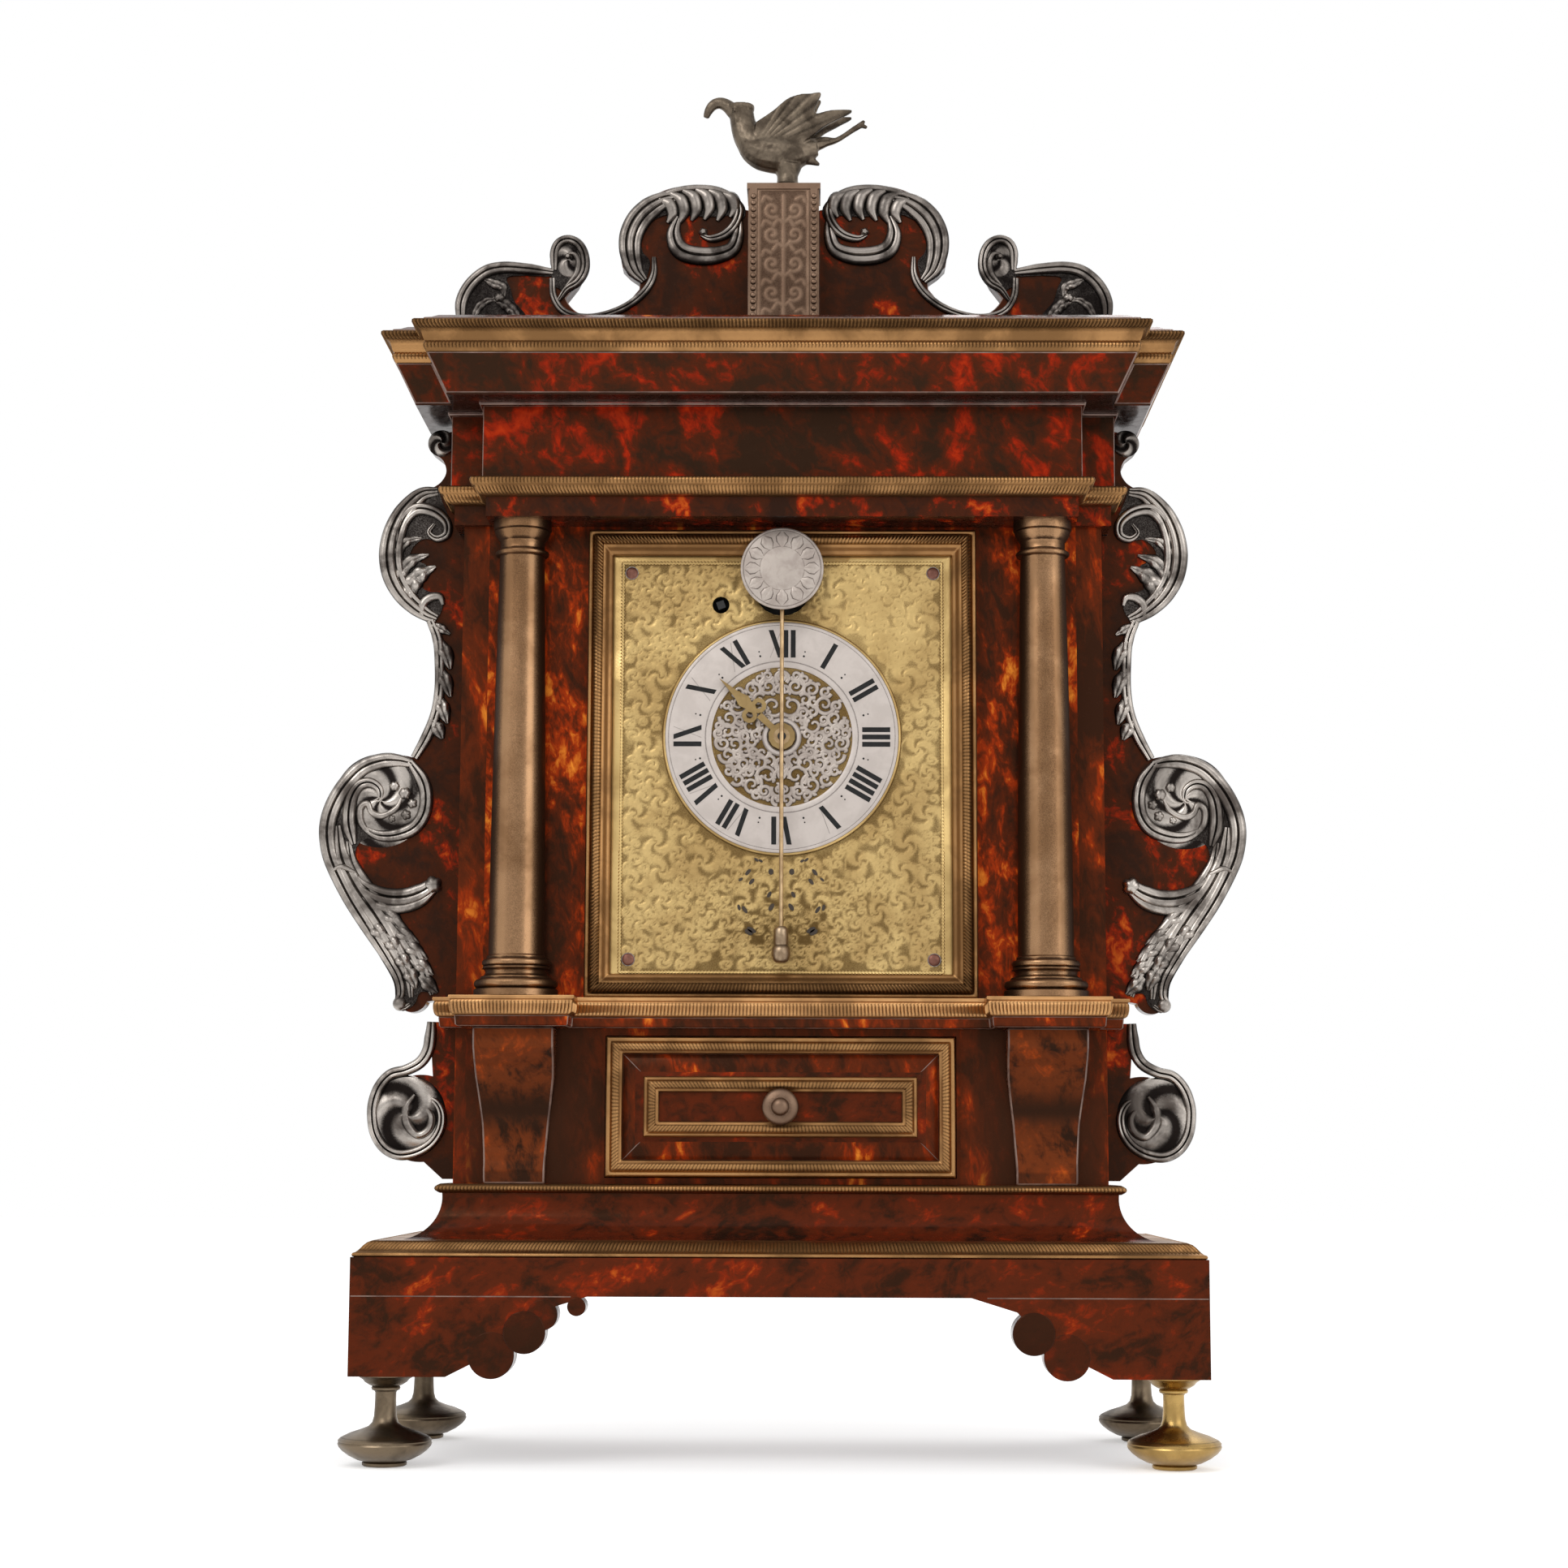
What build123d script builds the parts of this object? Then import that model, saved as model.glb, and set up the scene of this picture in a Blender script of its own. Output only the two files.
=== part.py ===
from build123d import *
import math
import os

os.makedirs("parts", exist_ok=True)

# Case, millimetres; front is -Y, the floor is z = 0
case_width = 248.0
case_depth = 108.0
board = 10.0
breakfront = 16.0
bay_width = 220.0
joint_gap = 0.3

# Round pieces are prisms with few sides, and ornaments turn by this angle per facet
round_sides = 12
facet_turn = 30.0

# Heights of the stages, from the floor up
foot_height = 33.5
bracket_height = 29.0
rail_height = 14.0
base_moulding_height = 6.0
scotia_height = 17.0
bead_height = 3.5
drawer_stage_height = 62.0
waist_height = 8.0
dial_stage_height = 183.5
architrave_height = 7.5
architrave_brass_height = 7.0
frieze_height = 28.5
fillet_height = 1.5
fascia_height = 14.3
crown_height = 11.7
roof_step_height = 3.0

# How far each course stands out from the case face
plinth_reach = 33.0
base_moulding_reach = 31.8
scotia_reach = 16.0
scotia_top_reach = 3.5
bead_reach = 5.5
waist_reach = 8.0
architrave_reach = 3.5
architrave_brass_reach = 8.7
frieze_reach = 5.0
fillet_reach = 6.5
fascia_reach = 17.75
fascia_top_reach = 24.6
crown_reach = 29.0

# Levels that follow from the heights
bracket_z = foot_height
rail_z = bracket_z + bracket_height
base_moulding_z = rail_z + rail_height
scotia_z = base_moulding_z + base_moulding_height
bead_z = scotia_z + scotia_height
drawer_stage_z = bead_z + bead_height
waist_z = drawer_stage_z + drawer_stage_height
dial_stage_z = waist_z + waist_height
architrave_z = dial_stage_z + dial_stage_height
architrave_brass_z = architrave_z + architrave_height
frieze_z = architrave_brass_z + architrave_brass_height
fillet_z = frieze_z + frieze_height
fascia_z = fillet_z + fillet_height
crown_z = fascia_z + fascia_height
roof_z = crown_z + crown_height
roof_step_z = roof_z + roof_step_height

# Planes that follow from the depth, with the whole clock centred on y = 0
case_half = case_width / 2
bay_half = bay_width / 2
case_front = (breakfront + crown_reach - case_depth) / 2
case_back = case_front + case_depth
back_recess = 5.0
back_thickness = 8.0
back_outer = case_back - back_recess
back_inner = back_outer - back_thickness

# Feet
foot_inset_x = 11.5
foot_inset_y = 18.0
foot_disc_radius = 18.0
foot_pad_radius = 8.2
foot_neck_radius = 4.7
foot_flange_radius = 10.6

# Plinth brackets
bracket_board = 12.0
bracket_flat = 35.5
lobe_radius = 8.4
lobe_far_radius = 7.7
lobe_third_radius = 5.5
lobe_drop_radius = 3.3

# Drawer
drawer_width = 132.4
drawer_height = 52.8
drawer_lift = 2.3
drawer_gap = 0.5
drawer_back_gap = 7.0
drawer_depth = back_inner - case_front - board - drawer_back_gap
drawer_wall = 5.0
drawer_stand = 6.0
drawer_moulding = 6.6
drawer_inner_width = 103.4
drawer_inner_height = 22.8
knob_radius = 6.9
knob_reach = 11.0

# Corbels and columns
column_x = 100.5
pedestal_width = 31.0
corbel_width = 30.4
corbel_foot_width = 23.4
column_out = 7.0
column_base_radius = 16.0
column_bottom_radius = 10.6
column_top_radius = 8.6
column_base_height = 13.0
capital_height = 14.0
capital_radius = 11.2

# Dial
dial_frame_width = 150.0
dial_frame_gap = 2.1
dial_frame_height = dial_stage_height - dial_frame_gap
dial_frame_band = 9.4
dial_frame_reach = 7.0
dial_plate_width = dial_frame_width - 18.0
dial_plate_height = dial_frame_height - 14.0
dial_plate_bottom = dial_stage_z + 6.0
dial_plate_top = dial_plate_bottom + dial_plate_height
dial_plate_thickness = 2.0
dial_plate_sink = 1.0
dial_z = dial_plate_top - 72.4
chapter_outer_radius = 45.0
chapter_inner_radius = 27.2
chapter_thickness = 1.2
rosette_radius = 26.4
rosette_thickness = 0.8
post_x = dial_plate_width / 2 - 7.5
post_top_z = dial_plate_top - 8.1
post_bottom_z = dial_plate_bottom + 9.0
post_radius = 2.6
hand_length = 33.0
hand_angle = 313.0
winding_x = -23.8
winding_z = dial_z + 51.8
winding_hole_radius = 3.3
verge_z = dial_z + 59.5
verge_hole_radius = 11.0
verge_hole_drop = 0.9

# Movement plates and the layers of the train between them
plate_half_width = dial_plate_width / 2 - 4.0
plate_bottom_z = dial_plate_bottom + 5.0
plate_top_z = dial_plate_top - 3.6
plate_thickness = 2.0
front_plate_y = -18.0
plate_distance = 44.0
pillar_x = plate_half_width - 10.0
pillar_radius = 3.4
pivot_radius = 0.8
arbor_radius = 1.3
running_gap = 0.05

# Wheel counts; module in millimetres
great_teeth = 40
second_pinion_teeth = 8
great_module = 0.825
second_teeth = 42
third_pinion_teeth = 6
second_module = 0.8
third_teeth = 42
contrate_pinion_teeth = 6
third_module = 0.73
contrate_teeth = 42
crown_pinion_teeth = 6
contrate_module = 0.68
hour_teeth = 48
motion_teeth = 6
motion_module = 1.425
escape_teeth = 21
escape_radius = 7.5

# Pendulum
pendulum_y = -38.0
rod_radius = 0.8
disc_radius = 16.0
disc_thickness = 1.2
disc_lift = 4.75
bob_length = 13.8
bob_bottom = verge_z - dial_plate_bottom - 7.4
bob_radius = 3.65

# Pediment, bird and ears; each ornament is drawn at a scale set by its main size
pediment_front = -18.0
pediment_thickness = 9.0
pediment_height = 70.2
pediment_scale = pediment_height / 70.2
block_half_width = 14.0
block_height = 67.0
block_front = -27.0
bird_height = 39.4
bird_scale = bird_height / 39.4
ear_reach = 55.5
ear_scale = ear_reach / 55.5
ear_front = -17.5
ear_thickness = 9.0
mount_thickness = 2.5

block_top_z = roof_step_z + block_height
front_plate_back = front_plate_y + plate_thickness
back_plate_y = front_plate_back + plate_distance
dial_plate_front = case_front + dial_plate_sink
dial_plate_back = dial_plate_front + dial_plate_thickness


def slab(x0, x1, y0, y1, z0, z1):
    return Pos((x0 + x1) / 2, (y0 + y1) / 2, (z0 + z1) / 2) * Box(x1 - x0, y1 - y0, z1 - z0)


def outline(*points):
    return make_face(Polyline(*points, close=True))


def upright(sketch, front, back):
    """Solid of a front-view outline (x, z), between two y planes."""
    plane = Plane(origin=(0, back, 0), x_dir=(1, 0, 0), z_dir=(0, -1, 0))
    return extrude(plane * sketch, amount=back - front)


def sideways(sketch, left, right):
    """Solid of a side-view outline (y, z), between two x planes."""
    plane = Plane(origin=(left, 0, 0), x_dir=(0, 1, 0), z_dir=(1, 0, 0))
    return extrude(plane * sketch, amount=right - left)


def turned(points, sides=round_sides):
    """Turned piece about the vertical axis from (radius, height) points, as a many-sided solid."""
    rings = []
    for radius, height in points:
        turns = [2 * math.pi * i / sides for i in range(sides)]
        rings.append([(radius * math.cos(a), radius * math.sin(a), height) for a in turns])
    return polyhedron(rings)


def arbor(x, z, radius, front, back):
    middle = (front + back) / 2
    return Pos(x, middle, z) * Rot(90, 0, 0) * Cylinder(radius, back - front)


def prism(x, z, radius, front, back, sides=round_sides):
    """Many-sided bar along Y."""
    return upright(Pos(x, z) * RegularPolygon(radius, sides), front, back)


def bore(x, z, radius, sides=12):
    """Many-sided hole that clears a round bar of this radius."""
    return Pos(x, z) * RegularPolygon(radius / math.cos(math.pi / sides), sides)


def bow(centre, radius, start, end, turn=facet_turn):
    """Points along an arc, angles in degrees."""
    count = max(2, math.ceil(abs(end - start) / turn))
    angles = [math.radians(start + (end - start) * i / count) for i in range(count + 1)]
    return [(centre[0] + radius * math.cos(a), centre[1] + radius * math.sin(a)) for a in angles]


def mirrored(shape):
    return mirror(shape, about=Plane.YZ)


def group(*shapes):
    solids = []
    for shape in shapes:
        solids.extend(shape.solids())
    return Compound(children=solids)


def polyhedron(rings):
    """Closed solid through stacked level rings that have the same number of corners."""
    faces = [Face(Wire.make_polygon(rings[0])), Face(Wire.make_polygon(rings[-1]))]
    for lower, upper in zip(rings, rings[1:]):
        count = len(lower)
        for i in range(count):
            j = (i + 1) % count
            faces.append(Face(Wire.make_polygon([lower[i], lower[j], upper[j], upper[i]])))
    return Solid(Shell(faces))


def case_ring(reach, z):
    """Plan of the case at one level, standing out to the front and the sides."""
    x = case_half + reach
    y = case_front - reach
    return [(-x, case_back, z), (-x, y, z), (x, y, z), (x, case_back, z)]


def bay_ring(reach, z):
    """Plan of the case with the columns' bay standing forward."""
    x = case_half + reach
    y = case_front - reach
    b = bay_half + reach
    f = y - breakfront
    left = [(-x, case_back, z), (-x, y, z), (-b, y, z), (-b, f, z)]
    right = [(b, f, z), (b, y, z), (x, y, z), (x, case_back, z)]
    return left + right


def core(z0, z1, reach=0.0):
    """The case block itself, for cutting out of the courses around it."""
    x = case_half + reach
    return slab(-x, x, case_front - reach, case_back + 1, z0 - 1, z1 + 1)


def course(ring, steps):
    """A course around the case from (reach, z) steps."""
    return polyhedron([ring(reach, z) for reach, z in steps])


def feet():
    h = foot_height
    profile = [
        (foot_pad_radius, 0),
        (foot_pad_radius + 1.2, 2.4),
        (foot_disc_radius - 2.2, 4.8),
        (foot_disc_radius, 8.0),
        (foot_disc_radius - 3.0, 11.0),
        (foot_neck_radius + 1.0, 14.0),
        (foot_neck_radius, h - 6.2),
        (foot_flange_radius - 2.6, h - 3.2),
        (foot_flange_radius, h - 1.2),
        (foot_flange_radius, h),
    ]
    foot = turned(profile)
    x = case_half + plinth_reach - foot_inset_x
    front = case_front - plinth_reach + foot_inset_y
    back = case_back - foot_inset_y
    return group(*[Pos(sx * x, y, 0) * foot for sx in (-1, 1) for y in (front, back)])


def bracket_profile(lobed, full=False):
    """Bracket outline measured inwards from the plinth corner, downwards from the rail."""
    h = bracket_height
    near = bracket_flat + 16.6
    reach = near + 8.4
    body = outline(
        (0, 0),
        (0, -h),
        (bracket_flat, -h),
        (near - 7.8, -h + 4.4),
        (near, -h + 11.0),
        (reach + 3.4, -h + 17.0) if lobed else (reach, -h + 17.0),
        (reach + 9.5, -5.2) if lobed else (reach + 3.0, -5.2),
        (reach + 26.4, 0) if lobed else (reach + 9.0, 0),
    )
    if lobed:
        body += Pos(near, -h + 7.8) * RegularPolygon(lobe_radius, round_sides)
        body += Pos(near + 12.0, -h + 16.1) * RegularPolygon(lobe_far_radius, round_sides)
    if full:
        body += Pos(near + 18.6, -h + 22.4) * RegularPolygon(lobe_third_radius, 10)
        body += Pos(near + 31.0, -h + 25.4) * RegularPolygon(lobe_drop_radius, 10)
    return body


def bracket(lobed, full=False):
    """Right front corner, mitred from a front board and a side board round a corner block."""
    x = case_half + plinth_reach
    front = case_front - plinth_reach
    face = Pos(x, rail_z) * mirror(bracket_profile(lobed, full), about=Plane.YZ)
    body = upright(face, front, front + bracket_board)
    body += sideways(Pos(front, rail_z) * bracket_profile(False), x - bracket_board, x)
    block = 28.0
    body += slab(x - block, x, front, front + block, bracket_z, rail_z)
    return body


def plinth_brackets():
    front = bracket(True)
    front_left = mirrored(bracket(True, True))
    middle = (case_front - plinth_reach + case_back) / 2
    back = mirror(bracket(False), about=Plane((0, middle, 0), x_dir=(1, 0, 0), z_dir=(0, 1, 0)))
    return group(front, front_left, back, mirrored(back))


def plinth_board():
    return course(case_ring, [(plinth_reach, rail_z), (plinth_reach, base_moulding_z)])


def base_moulding():
    z = base_moulding_z
    steps = [
        (base_moulding_reach, z),
        (base_moulding_reach + 0.4, z + 1.2),
        (base_moulding_reach - 1.0, z + 2.2),
        (base_moulding_reach - 4.4, z + 4.6),
        (base_moulding_reach - 8.8, z + 5.7),
        (scotia_reach + 1.0, scotia_z),
    ]
    return course(case_ring, steps) - core(z, scotia_z, scotia_reach - 1.0)


def scotia():
    x = case_half
    depth = scotia_reach - scotia_top_reach
    path = Polyline((-x, case_back, 0), (-x, case_front, 0), (x, case_front, 0), (x, case_back, 0))
    top = scotia_z + scotia_height
    knee = (scotia_top_reach + depth * 0.30, scotia_z + scotia_height * 0.30)
    profile = Polyline((-2.0, top), (-2.0, scotia_z), (scotia_reach, scotia_z))
    profile += ThreePointArc((scotia_reach, scotia_z), knee, (scotia_top_reach, top))
    profile += Line((scotia_top_reach, top), (-2.0, top))
    plane = Plane(origin=(-x, case_back, 0), x_dir=(-1, 0, 0), z_dir=(0, 1, 0))
    cove = sweep(plane * make_face(profile), path=path, transition=Transition.RIGHT)
    inner = slab(-x - 1, x + 1, case_front - 1, case_back, scotia_z, top)
    foot = core(base_moulding_z, scotia_z, scotia_reach - 1.3) & slab(
        -200, 200, -200, case_back, base_moulding_z, scotia_z
    )
    return cove + inner + foot


def scotia_moulding():
    steps = [
        (bead_reach - 1.2, bead_z),
        (bead_reach, bead_z + 1.0),
        (bead_reach, bead_z + bead_height - 1.0),
        (bead_reach - 1.2, drawer_stage_z),
    ]
    return course(case_ring, steps) - core(bead_z, drawer_stage_z)


def case_sides():
    side = slab(case_half - board, case_half, case_front, case_back, bead_z, fascia_z)
    return group(side, mirrored(side))


def case_shelves():
    x = case_half - board
    floor_top = drawer_stage_z + drawer_lift
    lid_bottom = floor_top + joint_gap + drawer_height + 2 * drawer_gap
    front = case_front + board
    floor = slab(-x, x, front, back_inner, bead_z, floor_top)
    lid = slab(-x, x, front, back_inner, lid_bottom, waist_z)
    return group(floor, lid)


def drawer_z():
    return drawer_stage_z + drawer_lift + joint_gap + drawer_height / 2


def drawer_surround():
    x = case_half - board
    frame = slab(-x, x, case_front, case_front + board, bead_z, waist_z)
    half = drawer_width / 2 + drawer_gap
    low = drawer_z() - drawer_height / 2 - joint_gap
    high = drawer_z() + drawer_height / 2 + drawer_gap
    return frame - slab(-half, half, case_front - 1, case_front + board + 1, low, high)


def rectangle_frame(width, height, band, front, back, z, lean=0.0):
    """A mitred frame; its inner edge is set back by the lean."""
    outer = Pos(0, z) * Rectangle(width, height)
    inner = Pos(0, z) * Rectangle(width - 2 * band, height - 2 * band)
    ring = upright(outer - inner, front, back)
    if lean:
        step = Pos(0, z) * Rectangle(width - band, height - band)
        ring -= upright(step, front - 1, front + lean)
    return ring


def drawer_box():
    half = drawer_width / 2 - 3.0
    z0 = drawer_z() - drawer_height / 2
    z1 = z0 + drawer_height - 6.0
    front = case_front + board
    back = front + drawer_depth
    box = slab(-half, half, front, back, z0, z1)
    return box - slab(
        -half + drawer_wall, half - drawer_wall, front + drawer_wall, back - drawer_wall,
        z0 + drawer_wall, z1 + 1,
    )


def drawer_front():
    """Front board with a sloped field between the two brass frames."""
    z = drawer_z()
    w, h = drawer_width / 2, drawer_height / 2
    low = case_front - drawer_stand + 4.4
    body = slab(-w, w, low, case_front + board, z - h, z + h)
    a = w - drawer_moulding
    b = h - drawer_moulding
    c = drawer_inner_width / 2
    d = drawer_inner_height / 2
    top = case_front - drawer_stand + 1.0
    field = polyhedron([
        [(-a, low, z - b), (a, low, z - b), (a, low, z + b), (-a, low, z + b)],
        [(-c, top, z - d), (c, top, z - d), (c, top, z + d), (-c, top, z + d)],
    ])
    return body + field


def drawer_mouldings():
    z = drawer_z()
    low = case_front - drawer_stand + 4.4
    outer = rectangle_frame(drawer_width, drawer_height, drawer_moulding,
                            case_front - drawer_stand, low, z, 1.6)
    top = case_front - drawer_stand + 1.0
    inner = rectangle_frame(drawer_inner_width, drawer_inner_height, drawer_moulding - 0.6,
                            top - 2.6, top, z, 1.0)
    return group(outer, inner)


def drawer_knob():
    r = knob_radius
    profile = [
        (r * 0.62, 0), (r * 0.62, 1.2), (r * 0.40, 2.0), (r * 0.40, 4.4), (r * 0.92, 5.6),
        (r, 6.8), (r * 0.92, 8.0), (r * 0.52, 8.8), (r * 0.30, 10.6), (r * 0.08, knob_reach),
    ]
    seat = case_front - drawer_stand + 1.0
    return Pos(0, seat, drawer_z()) * Rot(90, 0, 0) * turned(profile)


def corbels():
    """S-shaped consoles that carry the column pedestals."""
    top = waist_z
    low = drawer_stage_z
    f = case_front
    side = Polyline((f, low), (f - 4.5, low), (f - 5.0, low + 5.0))
    side += ThreePointArc((f - 5.0, low + 5.0), (f - 1.8, low + 22.0), (f - 6.2, low + 37.0))
    side += ThreePointArc((f - 6.2, low + 37.0), (f - 10.0, low + 44.0), (f - 15.4, low + 51.0))
    side += Polyline((f - 15.4, low + 51.0), (f - 15.4, top - 4.2), (f, top - 4.2), (f, low))
    bracket_solid = sideways(make_face(side), column_x - corbel_width / 2, column_x + corbel_width / 2)
    wide = corbel_width / 2
    narrow = corbel_foot_width / 2
    front_view = outline((-narrow, low), (narrow, low), (wide, low + 44.0), (wide, top), (-wide, top),
                         (-wide, low + 44.0))
    bracket_solid &= upright(Pos(column_x, 0) * front_view, f - 20.0, f)
    half = pedestal_width / 2
    cap = slab(column_x - half, column_x + half, f - breakfront, f, top - 4.2, top)
    right = bracket_solid + cap
    return group(right, mirrored(right))


def waist_ring(reach, z):
    """Plan of the waist course, breaking forward under each column."""
    x = case_half + reach
    y = case_front - reach
    f = y - breakfront
    a = column_x + pedestal_width / 2 + reach
    b = column_x - pedestal_width / 2 - reach
    left = [(-x, case_back, z), (-x, y, z), (-a, y, z), (-a, f, z), (-b, f, z), (-b, y, z)]
    right = [(-p[0], p[1], z) for p in reversed(left)]
    return left + right


def waist_moulding():
    steps = [
        (0.6, waist_z),
        (waist_reach - 4.0, waist_z + 1.2),
        (waist_reach - 1.2, waist_z + 3.0),
        (waist_reach - 0.6, waist_z + 5.0),
        (waist_reach, waist_z + 5.4),
        (waist_reach, dial_stage_z),
    ]
    return course(waist_ring, steps) - core(waist_z, dial_stage_z)


def column(side):
    z0 = dial_stage_z
    z1 = z0 + column_base_height
    z3 = architrave_z
    z2 = z3 - capital_height
    b = column_base_radius
    c = capital_radius
    profile = [
        (b, z0), (b, z0 + 3.0), (b - 1.4, z0 + 3.4), (b - 0.6, z0 + 5.0), (b - 1.6, z0 + 6.6),
        (b - 4.2, z0 + 7.4), (b - 3.0, z0 + 10.4), (column_bottom_radius, z1),
        (column_bottom_radius, z1 + 30.0), (column_top_radius, z2), (column_top_radius + 1.8, z2 + 0.8),
        (column_top_radius + 1.8, z2 + 2.2), (column_top_radius, z2 + 2.8), (column_top_radius, z2 + 6.0),
        (c, z2 + 9.6), (c, z3),
    ]
    whole = Pos(side * column_x, case_front - column_out, 0) * turned(profile)
    return whole - slab(-200, 200, case_front, 200, z0 - 1, z3 + 1)


def dial_surround():
    x = case_half - board
    front = case_front
    panel = slab(-x, x, front, front + board, waist_z, fascia_z)
    half = dial_plate_width / 2
    lip = 2.4
    seat = slab(-half - joint_gap, half + joint_gap, front - 1, dial_plate_back,
                dial_plate_bottom - joint_gap, dial_plate_top + joint_gap)
    hole = slab(-half + lip, half - lip, front - 1, front + board + 1,
                dial_plate_bottom + lip, dial_plate_top - lip)
    return panel - seat - hole


def dial_frame():
    z = dial_stage_z + dial_frame_height / 2
    return rectangle_frame(dial_frame_width, dial_frame_height, dial_frame_band,
                           case_front - dial_frame_reach, case_front, z, 2.6)


def dial_plate():
    sheet = Pos(0, (dial_plate_bottom + dial_plate_top) / 2) * Rectangle(dial_plate_width, dial_plate_height)
    sheet -= Pos(0, verge_z - verge_hole_drop) * RegularPolygon(verge_hole_radius, 20)
    sheet -= bore(winding_x, winding_z, winding_hole_radius, round_sides)
    sheet -= bore(0, dial_z, pipe_radius + joint_gap)
    return upright(sheet, dial_plate_front, dial_plate_back)


def dial_posts():
    """Posts that hold the movement behind the dial plate, with their rivet heads in front."""
    posts = []
    for x in (-post_x, post_x):
        for z in (post_bottom_z, post_top_z):
            posts.append(prism(x, z, post_radius, dial_plate_front - 0.8, dial_plate_front, 10))
            posts.append(prism(x, z, post_radius + 0.6, dial_plate_back, front_plate_y, 8))
    return group(*posts)


def chapter_ring():
    ring = RegularPolygon(chapter_outer_radius, 44) - RegularPolygon(chapter_inner_radius, 32)
    return upright(Pos(0, dial_z) * ring, dial_plate_front - chapter_thickness, dial_plate_front)


def dial_rosette():
    disc = Pos(0, dial_z) * RegularPolygon(rosette_radius, 28) - bore(0, dial_z, pipe_radius + joint_gap)
    for i in range(8):
        angle = math.radians(45.0 * i + 22.5)
        spot = Pos(16.5 * math.cos(angle), dial_z + 16.5 * math.sin(angle))
        disc -= spot * RegularPolygon(4.4, 6)
    return upright(disc, dial_plate_front - rosette_thickness, dial_plate_front)


pipe_radius = 3.2
stud_radius = 1.6
hand_back = dial_plate_front - 2.2
hand_front = hand_back - 1.0


def hour_hand():
    """Pierced hand: boss, two scrolled lobes and an arrow point, turned to its hour."""
    blade = outline((-1.1, 3.0), (1.1, 3.0), (1.3, 12.0), (-1.3, 12.0))
    blade += RegularPolygon(5.2, round_sides)
    for side in (-1, 1):
        blade += Pos(side * 2.6, 14.6) * (RegularPolygon(3.0, 10) - RegularPolygon(1.4, 6))
    blade += outline((-1.2, 16.0), (1.2, 16.0), (2.6, 20.0), (1.3, 24.0), (0, hand_length),
                     (-1.3, 24.0), (-2.6, 20.0))
    blade -= RegularPolygon(pipe_radius + 0.02, round_sides)
    flat = upright(blade, hand_front, hand_back)
    return Pos(0, 0, dial_z) * Rot(0, hand_angle, 0) * flat


def gear(x, z, module, teeth, phase, front, back, wheel):
    """Clock tooth form: pointed wheel teeth, slender pinion leaves."""
    pitch = module * teeth / 2
    step = 2 * math.pi / teeth
    if wheel:
        tip, root = pitch + 0.95 * module, pitch - 1.35 * module
        corners = [(root, -0.5), (tip, 0.0)]
    else:
        tip, root = pitch + 0.5 * module, pitch - 1.25 * module
        corners = [(root, -0.17), (tip, -0.08), (tip, 0.08), (root, 0.17)]
    points = []
    for i in range(teeth):
        for radius, turn in corners:
            a = math.radians(phase) + (i + turn) * step
            points.append((radius * math.cos(a), radius * math.sin(a)))
    return upright(Pos(x, z) * outline(*points), front, back)


def crossed(x, z, outer, inner, front, back):
    """Four openings between the crossings of a wheel."""
    openings = []
    for quarter in range(4):
        wide = math.degrees(math.asin(1.3 / outer))
        narrow = math.degrees(math.asin(1.3 / inner))
        first = 90.0 * quarter + 45.0
        edge = bow((x, z), outer, first + wide, first + 90.0 - wide, 45.0)
        edge += bow((x, z), inner, first + 90.0 - narrow, first + narrow, 45.0)
        openings.append(upright(outline(*edge), front - 1, back + 1))
    return openings


def heading(start, end):
    return math.degrees(math.atan2(end[1] - start[1], end[0] - start[0]))


def meeting_point(first, r1, second, r2, side):
    """Axis that lies at given centre distances from two other axes."""
    dx, dz = second[0] - first[0], second[1] - first[1]
    span = math.hypot(dx, dz)
    along = (r1 * r1 - r2 * r2 + span * span) / (2 * span)
    off = side * math.sqrt(r1 * r1 - along * along)
    ux, uz = dx / span, dz / span
    return (first[0] + along * ux - off * uz, first[1] + along * uz + off * ux)


barrel_axis = (winding_x, winding_z)
hour_axis = (0.0, dial_z)
great_span = great_module * (great_teeth + second_pinion_teeth) / 2
hour_span = motion_module * (hour_teeth + motion_teeth) / 2
second_span = second_module * (second_teeth + third_pinion_teeth) / 2
third_span = third_module * (third_teeth + contrate_pinion_teeth) / 2
contrate_radius = contrate_module * contrate_teeth / 2
crown_pinion_radius = contrate_module * crown_pinion_teeth / 2
escape_tip_z = verge_z - 3.3
escape_base_z = escape_tip_z - 4.8
crown_pinion_z = escape_base_z - 7.0
crown_y = -6.0
contrate_axis = (0.0, crown_pinion_z - contrate_radius)
second_axis = meeting_point(barrel_axis, great_span, hour_axis, hour_span, -1)
third_axis = meeting_point(second_axis, second_span, contrate_axis, third_span, -1)

great_y = 4.5
second_wheel_y = -14.4
third_wheel_y = 10.0
wheel_thickness = 1.5
hour_wheel_y = -24.4


def pivoted(axis, front, back):
    """Arbor with a shoulder at each end, a round pivot in front and a plain one behind."""
    x, z = axis
    low, high = front_plate_back + joint_gap, back_plate_y - joint_gap
    shaft = prism(x, z, arbor_radius, low, high, 8)
    return shaft + arbor(x, z, pivot_radius, front, low) + prism(x, z, pivot_radius, high, back, 8)


def barrel():
    """Great wheel with the closed spring drum behind it, free on the winding arbor."""
    x, z = barrel_axis
    phase = heading(barrel_axis, second_axis)
    body = gear(x, z, great_module, great_teeth, phase, great_y, great_y + 2.0, True)
    body += prism(x, z, 14.0, great_y + 2.0, great_y + 19.0, 24)
    return body - upright(bore(x, z, winding_radius + running_gap), great_y - 1, great_y + 20)


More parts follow.
